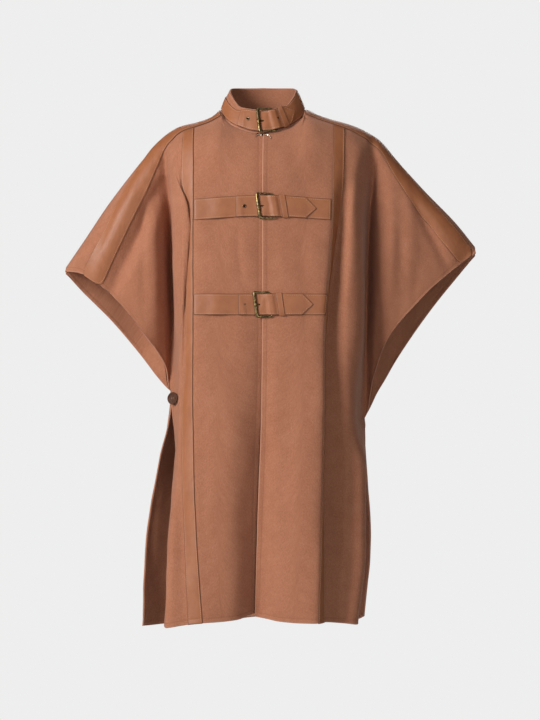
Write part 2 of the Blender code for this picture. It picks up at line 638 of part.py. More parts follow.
def sheet(name, columns, normals, thickness, finish, collection, flip=False):
    """Cloth or leather: the outer face is lofted through the columns, with its wall behind it."""
    shape = bmesh.new()
    outer = [[shape.verts.new(Vector(p)) for p in column] for column in columns]
    inner = {}
    for column, line, corners in zip(columns, normals, outer):
        for point, normal, corner in zip(column, line, corners):
            inner[corner] = shape.verts.new(Vector(point - normal * thickness))
    for first, second in zip(outer, outer[1:]):
        for r in range(min(len(first), len(second)) - 1):
            for face in halves(first[r], first[r + 1], second[r + 1], second[r]):
                outward = face[::-1] if flip else face
                shape.faces.new(outward)
                shape.faces.new([inner[corner] for corner in reversed(outward)])
    rims = [edge for edge in shape.edges if edge.is_boundary and edge.verts[0] in inner]
    for edge in rims:
        loop = edge.link_loops[0]
        start, end = loop.vert, loop.link_loop_next.vert
        shape.faces.new((end, start, inner[start], inner[end]))
    mesh = bpy.data.meshes.new(name)
    shape.to_mesh(mesh)
    shape.free()
    return new_object(name, mesh, finish, collection)


def laid_sheet(name, columns, thickness, finish, collection, mirrored=False):
    """Sheet whose wall runs straight in from its own outer face."""
    normals = grid_normals(columns, mirrored)
    return sheet(name, columns, normals, thickness, finish, collection, mirrored)


def hem_length(side, face, row):
    """Length down a wing guide from the fold line to the sleeve hem."""
    _, ridge_out, _, hem, top, _, _, rounding = row
    return turn_at(ridge_level(side, ridge_out, face) - hem, rounding) * max(top, rounding)


def shoulder_point(side, place, length):
    """Point of the outer face at a length over the shoulder from the fold line, front positive."""
    face = "front" if length >= 0 else "back"
    hollow = len(BODY) - 1

    def on_body(at):
        depth = curve_point(body_section(side, face, YOKE_LEVEL / 3), at)[1]
        return body_point(side, face, at, angle=abs(length) / depth)

    if place <= hollow:
        return on_body(place)
    wing = (FRONT_WING if face == "front" else BACK_WING)[side]
    points = [on_body(hollow - 1.0), on_body(float(hollow))]
    for row in wing:
        points.append(wing_guide_point(side, face, row, abs(length) / hem_length(side, face, row)))
    return curve_point(points, place - hollow + 1)


def hem_reach(side, place):
    """Length from the fold line to the sleeve hem at a guide place, on the front."""
    hollow = len(BODY) - 1
    if place <= hollow + 1:
        return HEM_LENGTH_INSIDE
    lengths = [(hem_length(side, "front", row),) for row in FRONT_WING[side]]
    return curve_point(lengths, place - hollow - 1)[0]


def moved_out(columns, normals, distance):
    return [[p + n * distance for p, n in zip(column, line)] for column, line in zip(columns, normals)]


def front_strips(panels, parts):
    """Leather strips down both fronts, lying on the panel between its two strip guides."""
    first = column_of("strip_in")
    last = column_of("strip_out")
    for side, columns in panels.items():
        mirrored = side == "right"
        under = [column[ROWS_UNDER_STRIP:] for column in columns[first:last + 1]]
        normals = grid_normals(under, mirrored)
        laid = moved_out(under, normals, FRONT_STRIP_LIFT + LEATHER)
        for column in laid:
            column[0] = column[0] + (column[1] - column[0]) * STRIP_TOP_SHARE
        levels = [row[0] for row in STRIP_SHORT[side]]
        shares = [row[1] for row in STRIP_SHORT[side]]
        for r, (near, edge) in enumerate(zip(laid[-2], laid[-1])):
            laid[-1][r] = edge + (near - edge) * smooth_between(levels, shares, edge[2])
        sheet(f"strip_{side}", laid, normals, LEATHER, tan_leather(), parts, mirrored)


def drawn_to(panels, point):
    """Nearest point of the panels' outer faces."""
    found = [tree.find_nearest(Vector(point)) for tree in panels]
    nearest = min(found, key=lambda hit: hit[3])
    return np.array(nearest[0])


def outer_face(columns):
    """Search tree of a panel's outer face."""
    corners = [Vector(point) for column in columns for point in column]
    starts = [0]
    for column in columns:
        starts.append(starts[-1] + len(column))
    faces = []
    for c in range(len(columns) - 1):
        for r in range(min(len(columns[c]), len(columns[c + 1])) - 1):
            a = starts[c] + r
            b = starts[c + 1] + r
            faces.extend(halves(a, a + 1, b + 1, b))
    return BVHTree.FromPolygons(corners, faces)


def shoulder_strips(panels, back, parts):
    """Leather strips over the shoulder seam, from the collar to the sleeve hem, drawn to the wool."""
    hollow = len(BODY) - 1
    for side in SIDES:
        trees = [outer_face(panels[side]), outer_face(back)]
        places = column_places(COLUMNS_BETWEEN, NECK_GUIDE)
        places += column_places(WING_COLUMNS_BETWEEN, hollow)[1:]
        end = SHOULDER_STRIP_END[side]
        columns = []
        for place in [p for p in places if p < end - 0.1] + [end]:
            back_edge, front_edge = strip_edges(side, place)
            front_edge = min(front_edge, hem_reach(side, place))
            width = front_edge - back_edge
            steps = [back_edge + width * k / SHOULDER_STEPS for k in range(SHOULDER_STEPS + 1)]
            columns.append([drawn_to(trees, shoulder_point(side, place, step)) for step in steps])
        mirrored = side == "left"
        normals = grid_normals(columns[::-1], mirrored)
        raised = moved_out(columns[::-1], normals, SHOULDER_LIFT + LEATHER)
        sheet(f"shoulder_strip_{side}", raised, normals, LEATHER, tan_leather(), parts, mirrored)


def collar_angles():
    """Angles of the collar's columns, from the centre front round by the wearer's left."""
    front = [COLLAR_SLIT, *NECK_ANGLES, 90]
    half = front + [180 - a for a in NECK_ANGLES[::-1]]
    return half + [180] + [360 - a for a in half[::-1]]


def neck_level(angle):
    """Level of the front's or back's neck edge at an angle round the neck."""
    turned = min(angle, 360 - angle)
    face = "front" if turned < 90 else "back"
    side = "left" if angle <= 180 else "right"
    out = (NECK_HALF + NECK_EASE) * math.sin(math.radians(turned))
    place = place_at_top(side, face, max(out, 0.0))
    return body_point(side, face, place, angle=neck_angle(side, face, place))[2]


def collar_ring(share):
    """Ring of the collar's outer face at a share of its height."""
    points = []
    for degrees in collar_angles():
        angle = math.radians(degrees)
        rim = smooth_between(
            [row[0] for row in COLLAR_RIM], [row[1] for row in COLLAR_RIM], min(degrees, 360 - degrees)
        )
        forward = math.cos(angle) > 0
        base_reach = NECK_FRONT if forward else NECK_BACK
        rim_reach = RIM_FRONT if forward else RIM_BACK
        base = neck_level(degrees) + GAP
        low = np.array((NECK_HALF * math.sin(angle), -base_reach * math.cos(angle), base))
        high = np.array((RIM_HALF * math.sin(angle), -rim_reach * math.cos(angle), rim))
        points.append(low + (high - low) * share)
    return points


def collar_columns():
    """Columns of the collar: its rim, the strap band's top, middle and bottom, and its seam."""
    columns = []
    for base, rim in zip(collar_ring(0.0), collar_ring(1.0)):
        height = np.linalg.norm(rim - base)
        low = COLLAR_BAND_LOW
        high = min(low + STRAP_BAND, height - COLLAR_RIM_SHOWN)
        heights = (height, high, (low + high) / 2, low, 0.0)
        columns.append([base + (rim - base) * h / height for h in heights])
    return columns


def on_patch(columns, stations, mirrored_below=None):
    """Placing function of a strap: along it, across it from -1 to 1, and up from what it lies on.

    It lies on the same triangles as the panel's own; below one station they are cut the other way.
    """
    normals = grid_normals(columns)

    def place(along, across, up):
        k = float(np.interp(along, stations, range(len(stations))))
        i = min(int(k), len(columns) - 2)
        share = k - i
        rows = np.clip(1.0 - across, 0.0, 2.0)
        r = min(int(rows), 1)
        drop = rows - r
        beyond = abs(across) - min(abs(across), 1.0)
        flipped = mirrored_below is not None and stations[i] < mirrored_below

        def within(grid):
            top, low, far_top, far_low = grid[i][r], grid[i][r + 1], grid[i + 1][r], grid[i + 1][r + 1]
            if flipped and share + drop > 1.0:
                return far_low + (low - far_low) * (1 - share) + (far_top - far_low) * (1 - drop)
            if flipped:
                return top + (far_top - top) * share + (low - top) * drop
            if drop >= share:
                return top + (low - top) * drop + (far_low - low) * share
            return top + (far_top - top) * share + (far_low - far_top) * drop

        point = within(columns)
        normal = within(normals)
        if beyond > 0:
            run = (columns[i][0] - columns[i][2]) / 2
            point = point + run * beyond * (1 if across > 0 else -1)
        return point + normal / np.linalg.norm(normal) * up

    place.stations = stations
    return place


def front_patch(panels, top_row):
    """Placing function across both fronts, between two upright strips.

    It steps over the wearer's right centre edge, which lies a little behind the left one.
    """
    reach = column_of("strip_in")
    columns = [c[top_row:top_row + 3] for c in panels["right"][reach:0:-1]]
    columns += [c[top_row:top_row + 3] for c in panels["left"][:reach + 1]]
    stations = [c[1][0] for c in columns]
    return on_patch(columns, stations, stations[reach - 1])


def collar_patch():
    """Placing function round the collar, from behind the wearer's right to behind the left."""
    ring = [column[1:4] for column in collar_columns()]
    half = len(ring) // 2
    columns = ring[half + 1:-1] + ring[:half]
    lengths = [0.0]
    for first, second in zip(columns, columns[1:]):
        lengths.append(lengths[-1] + np.linalg.norm(second[1] - first[1]))
    zero = lengths[len(ring) - half - 2]
    return on_patch(columns, [length - zero for length in lengths])


def raised_place(place, height):
    """Placing function that lies this much higher."""

    def higher(along, across, up):
        return place(along, across, up + height)

    higher.stations = place.stations
    return higher


def stops_along(place, start, end, extra=()):
    """Stations of a strap: its two ends, the columns under it and any extra ones of its own."""
    kept = [start, end, *extra]
    for station in sorted(place.stations):
        if start < station < end and min(abs(station - k) for k in kept) > STOP_APART:
            kept.append(station)
    return sorted(kept)


def cutter(name, place, along, long_half, cross_half, cutters):
    """Upright plug that cuts a hole through a strap."""
    up = tongue_lift(along)
    foot = Vector(place(along, 0.0, up - 3 * LEATHER))
    head = Vector(place(along, 0.0, up + 2 * LEATHER))
    side = Vector(place(along + long_half, 0.0, up)) - Vector(place(along, 0.0, up))
    across = (head - foot).cross(side).normalized() * cross_half
    shape = bmesh.new()
    rings = []
    for centre in (foot, head):
        angles = [math.radians(45 * k) for k in range(8)]
        rings.append([shape.verts.new(centre + side * math.cos(a) + across * math.sin(a)) for a in angles])
    for k in range(8):
        shape.faces.new((rings[0][k - 1], rings[0][k], rings[1][k], rings[1][k - 1]))
    shape.faces.new(rings[0][::-1])
    shape.faces.new(rings[1])
    bmesh.ops.recalc_face_normals(shape, faces=shape.faces)
    mesh = bpy.data.meshes.new(name)
    shape.to_mesh(mesh)
    shape.free()
    made = bpy.data.objects.new(name, mesh)
    made.hide_render = True
    made.display_type = "WIRE"
    cutters.objects.link(made)
    return made


def pierce(piece, plug):
    cut = piece.modifiers.new("hole", "BOOLEAN")
    cut.operation = "DIFFERENCE"
    cut.object = plug


def strap_piece(name, place, stops, width, lift, parts):
    """Flat leather through stations along a strap; width and lift depend on the station."""
    columns = [[place(at, width(at) * side, lift(at)) for side in (1, 0, -1)] for at in stops]
    return laid_sheet(name, columns, LEATHER, tan_leather(), parts)


def tongue_lift(at):
    """The tongue lies on the base strap and rises over the buckle's heel bar."""
    risen = HEEL_BAR_UP + BUCKLE_WIRE + GAP + LEATHER
    away = max(abs(at - HEEL_BAR) - BUCKLE_SLANT, 0.0)
    share = min(max((TONGUE_RISE - away) / (TONGUE_RISE - BUCKLE_WIRE), 0.0), 1.0)
    return TONGUE_UP + (risen - TONGUE_UP) * share * share * (3 - 2 * share)


def wire(name, points, radius, closed, finish, parts):
    """Bent wire through points, with its ends filled."""
    curve = bpy.data.curves.new(name, "CURVE")
    curve.dimensions = "3D"
    curve.bevel_depth = radius
    curve.bevel_resolution = 1
    curve.use_fill_caps = True
    line = curve.splines.new("POLY")
    line.points.add(len(points) - 1)
    for knot, point in zip(line.points, points):
        knot.co = (*point, 1.0)
    line.use_cyclic_u = closed
    made = bpy.data.objects.new(name, curve)
    curve.materials.append(finish)
    parts.objects.link(made)
    return made


def buckle(name, place, parts):
    """Rectangular frame: its outer bar lies on the tongue and its heel bar under it."""
    across = BUCKLE_HEIGHT / STRAP_BAND
    corner = 0.28
    centre = (HEEL_BAR + OUTER_BAR) / 2
    half = (HEEL_BAR - OUTER_BAR) / 2
    points = []
    for quarter in range(4):
        for k in range(4):
            angle = math.radians(90 * quarter + 30 * k)
            along = math.cos(angle) * corner + (1 - corner) * (1 if quarter in (0, 3) else -1)
            up = math.sin(angle) * corner * 0.6 + (1 - corner * 0.6) * (1 if quarter < 2 else -1)
            share = (along + 1) / 2
            lift = OUTER_BAR_UP + (HEEL_BAR_UP - OUTER_BAR_UP) * share
            points.append(place(centre + half * along - BUCKLE_SLANT * up, across * up, lift))
    wire(f"{name}_frame", points, BUCKLE_WIRE, True, aged_brass(), parts)
    rest = OUTER_BAR_UP + BUCKLE_WIRE + PRONG_WIRE + GAP
    prong = (
        (HEEL_BAR - BUCKLE_WIRE - GAP, HEEL_BAR_UP - PRONG_WIRE),
        (HEEL_BAR - 0.0070, PRONG_UP + 0.0001),
        (PRONG_HOLE + 0.0030, PRONG_UP + 0.0001),
        (PRONG_HOLE - 0.0030, TONGUE_UP + PRONG_WIRE + 0.0002),
        (OUTER_BAR + 0.0020, rest - 0.0007),
        (OUTER_BAR, rest),
        (OUTER_BAR - 0.0020, rest - 0.0005),
    )
    wire(f"{name}_prong", [place(a, 0.0, up) for a, up in prong], PRONG_WIRE, False, aged_brass(), parts)


def eyelet(name, place, along, parts):
    """Metal ring set on the tongue round its spare hole."""
    up = tongue_lift(along) + EYELET_WIRE + GAP
    points = []
    for k in range(12):
        angle = math.radians(30 * k)
        offset = EYELET_RADIUS * math.cos(angle)
        points.append(place(along + offset, EYELET_RADIUS * math.sin(angle) * 2 / STRAP_BAND, up))
    wire(name, points, EYELET_WIRE, True, aged_brass(), parts)


def keeper(name, place, parts):
    """Leather loop over the tongue, its ends sewn down beside the base strap."""
    edge = 1 + 2 * (LEATHER + 2 * GAP) / STRAP_BAND
    over = tongue_lift(KEEPER_START - BUCKLE_SLANT) + GAP + LEATHER
    section = ((edge, STRIP_LIFT + LEATHER / 2), (edge, over), (0.5, over), (-0.5, over), (-edge, over),
               (-edge, STRIP_LIFT + LEATHER / 2))
    columns = []
    for at in (KEEPER_START, KEEPER_START + KEEPER_WIDTH / 2, KEEPER_START + KEEPER_WIDTH):
        columns.append([place(at - BUCKLE_SLANT * across, across, up) for across, up in section])
    laid_sheet(name, columns, LEATHER, tan_leather(), parts)


def closure(name, place, reach, sides, spare_hole, parts, cutters):
    """Strap across the opening: two sewn bases, the tongue, its keeper and the buckle."""
    flat = STRIP_LIFT + LEATHER
    start, end = sides
    if reach:
        stops = stops_along(place, -reach[0], BASE_RIGHT_END)
        strap_piece(f"{name}_base_right", place, stops, lambda at: 1.0, lambda at: flat, parts)
        stops = stops_along(place, BASE_LEFT_START, reach[1])
        strap_piece(f"{name}_base_left", place, stops, lambda at: 1.0, lambda at: flat, parts)
    point = end - TIP_LENGTH
    bends = [HEEL_BAR + side * away for side in (-1, 1) for away in (0.0, *TONGUE_BENDS)]
    stops = stops_along(place, start, end, {*bends, point})

    def width(at):
        return 1.0 - (1.0 - TIP_SHARE) * max(at - point, 0.0) / TIP_LENGTH

    tongue = strap_piece(f"{name}_tongue", place, stops, width, tongue_lift, parts)
    pierce(tongue, cutter(f"{name}_prong_hole", place, PRONG_HOLE, *PRONG_SLOT, cutters))
    pierce(tongue, cutter(f"{name}_spare_hole", place, spare_hole, *SPARE_HOLE, cutters))
    keeper(f"{name}_keeper", place, parts)
    buckle(name, place, parts)


def side_button(side, panels, back, parts):
    """Turned button on a short stem, on a panel's edge just below the wing."""
    face, place = BUTTON_SEAT[side]
    panel = panels[side] if face == "front" else back
    level = UNDERARM[side] - BUTTON_DROP
    seat = drawn_to([outer_face(panel)], body_point(side, face, place, level=level))
    near = body_point(side, face, place - 0.2, level=level)
    below = body_point(side, face, place, level=level - 0.01)
    normal = np.cross(near - seat, below - seat) * SIDES[side]
    normal = Vector(normal if face == "front" else -normal).normalized()
    profile = (
        (0.0, 0.0), (BUTTON_STEM, 0.0), (BUTTON_STEM, BUTTON_FOOT), (BUTTON_RADIUS - 0.001, BUTTON_FOOT),
        (BUTTON_RADIUS, BUTTON_FOOT + 0.001), (BUTTON_RADIUS - 0.0008, BUTTON_FOOT + 0.0026),
        (BUTTON_RADIUS - 0.0030, BUTTON_FOOT + 0.0022), (0.0, BUTTON_FOOT + 0.0016),
    )
    shape = bmesh.new()
    knots = [shape.verts.new((x, 0.0, z)) for x, z in profile]
    edges = [shape.edges.new(pair) for pair in zip(knots, knots[1:])]
    bmesh.ops.spin(
        shape, geom=knots + edges, cent=(0, 0, 0), axis=(0, 0, 1), angle=math.tau, steps=16, use_merge=True
    )
    bmesh.ops.remove_doubles(shape, verts=shape.verts, dist=0.00001)
    bmesh.ops.recalc_face_normals(shape, faces=shape.faces)
    mesh = bpy.data.meshes.new(f"button_{side}")
    shape.to_mesh(mesh)
    shape.free()
    made = new_object(f"button_{side}", mesh, horn(), parts)
    made.rotation_euler = normal.to_track_quat("Z", "Y").to_euler()
    made.location = Vector(seat) + normal * BUTTON_CLEAR
    return made


def hook_and_eye(parts):
    """Wire hook and eye on the two centre edges, just under the collar."""
    for name, side, route in (("hook", "right", HOOK), ("eye", "left", EYE)):
        points = []
        for place, level in route:
            here = body_point(side, "front", place, level=level)
            points.append(here + np.array((0.0, -1.0, 0.3)) * HOOK_UP)
        wire(name, points, HOOK_WIRE, False, aged_brass(), parts)


def build():
    for old in list(bpy.data.objects):
        bpy.data.objects.remove(old, do_unlink=True)
    parts = bpy.data.collections.new("poncho")
    bpy.context.scene.collection.children.link(parts)
    cutters = bpy.data.collections.new("cutters")
    bpy.context.scene.collection.children.link(cutters)
    panels = {side: half_panel(side, "front") for side in SIDES}
    for side, columns in panels.items():
        normals = grid_normals(columns, side == "right", (0.0, -1.0, 0.0))
        sheet(f"front_{side}", columns, normals, WOOL, wool(), parts, side == "right")
    back = half_panel("right", "back")[::-1] + half_panel("left", "back")[1:]
    normals = grid_normals(back, True, (0.0, 1.0, 0.0))
    sheet("back", back, normals, WOOL, wool(), parts, True)
    front_strips(panels, parts)
    shoulder_strips(panels, back, parts)
    ring = collar_columns()
    normals = grid_normals(ring)
    sheet("collar", ring, normals, WOOL, wool(), parts)
    band = [column[1:4] for column in moved_out(ring, normals, STRIP_LIFT + LEATHER)]
    facing = [line[1:4] for line in normals]
    sheet("collar_band", band, facing, LEATHER, tan_leather(), parts)
    around = raised_place(collar_patch(), STRIP_LIFT + LEATHER)
    closure("collar", around, None, COLLAR_TONGUE, COLLAR_SPARE_HOLE, parts, cutters)
    chest = front_patch(panels, YOKE_ROWS["front"] + FRONT_LEVELS.index(CHEST_STRAP_TOP))
    waist = front_patch(panels, YOKE_ROWS["front"] + FRONT_LEVELS.index(WAIST_STRAP_TOP))
    closure("chest", chest, CHEST_REACH, CHEST_TONGUE, CHEST_SPARE_HOLE, parts, cutters)
    closure("waist", waist, WAIST_REACH, WAIST_TONGUE, WAIST_SPARE_HOLE, parts, cutters)
    eyelet("collar_eyelet", around, COLLAR_SPARE_HOLE, parts)
    eyelet("chest_eyelet", chest, CHEST_SPARE_HOLE, parts)
    for side in SIDES:
        side_button(side, panels, back, parts)
    hook_and_eye(parts)
    return parts


if __name__ == "__main__":
    build()
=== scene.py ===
import json
import math

import bmesh
import bpy
import numpy as np
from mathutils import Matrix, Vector
from mathutils.bvhtree import BVHTree


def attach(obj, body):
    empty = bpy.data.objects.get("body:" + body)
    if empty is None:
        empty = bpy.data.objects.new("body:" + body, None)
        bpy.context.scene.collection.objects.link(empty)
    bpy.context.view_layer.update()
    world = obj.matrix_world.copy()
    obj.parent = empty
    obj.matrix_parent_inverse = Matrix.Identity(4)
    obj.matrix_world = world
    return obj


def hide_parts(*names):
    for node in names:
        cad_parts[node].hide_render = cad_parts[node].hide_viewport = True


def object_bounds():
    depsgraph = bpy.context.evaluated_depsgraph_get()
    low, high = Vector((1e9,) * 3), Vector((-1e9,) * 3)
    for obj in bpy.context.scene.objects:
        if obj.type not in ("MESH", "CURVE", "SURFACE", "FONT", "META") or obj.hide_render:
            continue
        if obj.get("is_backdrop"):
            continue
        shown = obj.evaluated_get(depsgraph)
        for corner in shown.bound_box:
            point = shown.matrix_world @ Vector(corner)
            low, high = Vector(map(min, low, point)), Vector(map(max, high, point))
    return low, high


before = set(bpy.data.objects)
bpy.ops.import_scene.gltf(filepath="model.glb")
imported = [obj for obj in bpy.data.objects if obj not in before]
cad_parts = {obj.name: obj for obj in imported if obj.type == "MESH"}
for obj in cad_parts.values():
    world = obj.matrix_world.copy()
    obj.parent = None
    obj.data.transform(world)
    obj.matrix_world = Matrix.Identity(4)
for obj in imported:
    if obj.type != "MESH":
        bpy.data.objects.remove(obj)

CAD_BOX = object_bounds()

WOOL = 0.0026
LEATHER = 0.0013
GAP = 0.0003
STRIP_LIFT = 0.0004
STRAP_BAND = 0.0415
YOKE_LEVEL = -0.150
HEM_REACH = -1.02
GRID_STEP = 0.0052

NECK_HALF = 0.0838
NECK_FRONT = 0.078
NECK_BACK = 0.068
NECK_EASE = 0.0004

CHEST_STRAP_TOP = -0.1735
WAIST_STRAP_TOP = -0.3665

RIM_HALF = 0.0656
RIM_FRONT = 0.062
RIM_BACK = 0.058
COLLAR_SLIT = 0.4
COLLAR_BAND_LOW = 0.003
# Wool left showing above the collar's strap, by the angle from the centre front: more on the wearer's right.
RIM_SHOWN_RIGHT = (
    (0, 0.0015), (12, 0.0015), (20, 0.0035), (35, 0.0080), (60, 0.0150), (90, 0.0175), (125, 0.0150),
    (165, 0.0015), (180, 0.0015),
)
RIM_SHOWN_LEFT = 0.0015
# Angle from the centre front, and the level of the collar's rim there.
COLLAR_RIM = ((0, -0.0010), (40, 0.0065), (65, 0.0270), (90, 0.0450), (125, 0.0510), (180, 0.0535))

# Along a strap, from the centre front towards the wearer's left.
OUTER_BAR = -0.0085
HEEL_BAR = 0.0225
BUCKLE_WIRE = 0.0016
BUCKLE_HEIGHT = 0.0475
BUCKLE_SLANT = 0.0035
TONGUE_UP = STRIP_LIFT + 2 * LEATHER + 2 * GAP
OUTER_BAR_UP = TONGUE_UP + 2 * GAP + BUCKLE_WIRE
HEEL_BAR_UP = STRIP_LIFT + LEATHER + GAP + BUCKLE_WIRE
TONGUE_RISE = 0.0062
PRONG_WIRE = 0.0013
OUTER_BAR_WIRE = BUCKLE_WIRE + 0.0017
BAR_FLATNESS = 0.70
PRONG_HOLE = -0.0015
KEEPER_START = 0.0345
KEEPER_WIDTH = 0.0125
EYELET_RADIUS = 0.0030
EYELET_WIRE = 0.0008
BASE_RIGHT_END = -0.020
BASE_LEFT_START = HEEL_BAR + BUCKLE_WIRE + GAP
TIP_LENGTH = 0.021
COLLAR_TONGUE = (-0.050, 0.075)
CHEST_TONGUE = (-0.0527, 0.1045)
WAIST_TONGUE = (-0.0420, 0.1040)
COLLAR_SPARE_HOLE = -0.0300
COLLAR_FAR_HOLE = 0.0290
CHEST_SPARE_HOLE = -0.0360
WAIST_SPARE_HOLE = -0.0290
CHEST_REACH = (0.1345, 0.1335)
WAIST_REACH = (0.1285, 0.1315)
WAIST_BUCKLE_SHIFT = -0.0060

BUTTON_RADIUS = 0.0125
BUTTON_FOOT = 0.0026
BUTTON_CLEAR = 0.0007
BUTTON_DROP = 0.013
# Panel and column each side's button is sewn to; the left one is on the back, out of the photo's sight.
BUTTON_SEAT = {"right": ("front", 6.55), "left": ("back", 6.20)}

HOOK_WIRE = 0.0009
HOOK_UP = 0.0016
# Guide place and level of the wires' bends.
HOOK = ((0.30, -0.0545), (0.20, -0.0520), (0.10, -0.0510), (0.02, -0.0525))
EYE = ((0.08, -0.0525), (0.16, -0.0515), (0.26, -0.0540), (0.34, -0.0600))

STRIP_TOP_SHARE = 0.04
SHOULDER_LIFT = 0.0008
SHOULDER_STRIP_END = {"right": 10.95, "left": 11.8}
HEM_LENGTH_INSIDE = 0.30

SIDES = {"right": -1, "left": 1}

# Upright guide lines of the body, from the centre edge out to the underarm, and of the wing beyond it.
BODY = ("centre", "chest", "neck", "strip_in", "strip_out", "crest", "turn", "hollow")
# Columns between the guides outside the neck; inside it they stand at these angles round the collar.
NECK_ANGLES = (15, 30, 44, 57, 69, 80)
NECK_GUIDE = 2

# How far out from the centre line each guide runs, a row for each level.
FRONT_OUT = {
    "right": (
        # level, centre, chest, neck, strip_in, strip_out, crest, turn, hollow
        (-0.05, 0.0012, 0.046, 0.0842, 0.1365, 0.1620, 0.1790, 0.190, 0.1980),
        (-0.12, 0.0019, 0.046, 0.0870, 0.1363, 0.1640, 0.1700, 0.184, 0.1935),
        (-0.20, 0.0019, 0.046, 0.0880, 0.1360, 0.1575, 0.1405, 0.178, 0.1850),
        (-0.30, 0.0019, 0.046, 0.0880, 0.1368, 0.1570, 0.1400, 0.176, 0.1826),
        (-0.42, 0.0023, 0.046, 0.0880, 0.1357, 0.1570, 0.1500, 0.171, 0.1810),
        (-0.49, 0.0030, 0.046, 0.0885, 0.1360, 0.1580, 0.1585, 0.169, 0.1825),
        (-0.56, 0.0040, 0.047, 0.0890, 0.1365, 0.1605, 0.1650, 0.167, 0.1850),
        (-0.70, 0.0089, 0.050, 0.0900, 0.1343, 0.1612, 0.1680, 0.175, 0.1730),
        (-0.85, 0.0138, 0.052, 0.0880, 0.1283, 0.1570, 0.1780, 0.186, 0.1810),
        (-1.02, 0.0179, 0.052, 0.0820, 0.1164, 0.1500, 0.1800, 0.190, 0.1934),
    ),
    "left": (
        (-0.05, 0.0000, 0.046, 0.0842, 0.1385, 0.1659, 0.1900, 0.2050, 0.2165),
        (-0.12, -0.0011, 0.046, 0.0860, 0.1368, 0.1637, 0.1850, 0.2040, 0.2200),
        (-0.20, -0.0011, 0.046, 0.0860, 0.1354, 0.1555, 0.1753, 0.1947, 0.2125),
        (-0.30, -0.0011, 0.046, 0.0850, 0.1304, 0.1406, 0.1714, 0.1925, 0.2085),
        (-0.42, -0.0015, 0.044, 0.0820, 0.1215, 0.1277, 0.1650, 0.1925, 0.2055),
        (-0.60, -0.0042, 0.040, 0.0790, 0.1182, 0.1213, 0.1710, 0.1880, 0.2040),
        (-0.70, -0.0081, 0.036, 0.0760, 0.1166, 0.1197, 0.1745, 0.2010, 0.2035),
        (-0.85, -0.0130, 0.033, 0.0720, 0.1122, 0.1215, 0.1743, 0.2020, 0.2045),
        (-1.02, -0.0171, 0.030, 0.0680, 0.1073, 0.1232, 0.1600, 0.1845, 0.1885),
    ),
}

# How far in front of the shoulder line each guide hangs.
FRONT_DEPTH = {
    "right": (
        # level, centre, chest, neck, strip_in, strip_out, crest, turn, hollow
        (-0.05, 0.120, 0.120, 0.117, 0.112, 0.092, 0.068, 0.052, 0.046),
        (-0.12, 0.122, 0.121, 0.117, 0.108, 0.088, 0.085, 0.060, 0.040),
        (-0.20, 0.128, 0.128, 0.125, 0.119, 0.101, 0.136, 0.088, 0.026),
        (-0.30, 0.133, 0.134, 0.131, 0.125, 0.106, 0.143, 0.090, 0.012),
        (-0.42, 0.136, 0.138, 0.136, 0.131, 0.112, 0.130, 0.080, 0.0040),
        (-0.49, 0.136, 0.140, 0.140, 0.134, 0.113, 0.118, 0.060, 0.0035),
        (-0.56, 0.135, 0.142, 0.143, 0.137, 0.115, 0.110, 0.034, 0.0033),
        (-0.70, 0.130, 0.145, 0.149, 0.144, 0.126, 0.118, 0.085, 0.040),
        (-0.85, 0.120, 0.146, 0.154, 0.152, 0.137, 0.134, 0.118, 0.095),
        (-1.02, 0.106, 0.142, 0.157, 0.160, 0.154, 0.153, 0.148, 0.136),
    ),
    "left": (
        (-0.05, 0.122, 0.121, 0.117, 0.112, 0.098, 0.076, 0.058, 0.046),
        (-0.12, 0.124, 0.122, 0.117, 0.108, 0.094, 0.084, 0.058, 0.038),
        (-0.20, 0.130, 0.130, 0.126, 0.119, 0.097, 0.106, 0.078, 0.022),
        (-0.30, 0.135, 0.137, 0.134, 0.127, 0.099, 0.113, 0.082, 0.008),
        (-0.42, 0.138, 0.142, 0.141, 0.135, 0.105, 0.113, 0.082, 0.0035),
        (-0.60, 0.138, 0.148, 0.151, 0.146, 0.116, 0.108, 0.040, 0.0033),
        (-0.70, 0.134, 0.150, 0.156, 0.151, 0.121, 0.107, 0.075, 0.040),
        (-0.85, 0.126, 0.151, 0.161, 0.159, 0.131, 0.112, 0.086, 0.065),
        (-1.02, 0.114, 0.148, 0.163, 0.167, 0.142, 0.124, 0.105, 0.092),
    ),
}

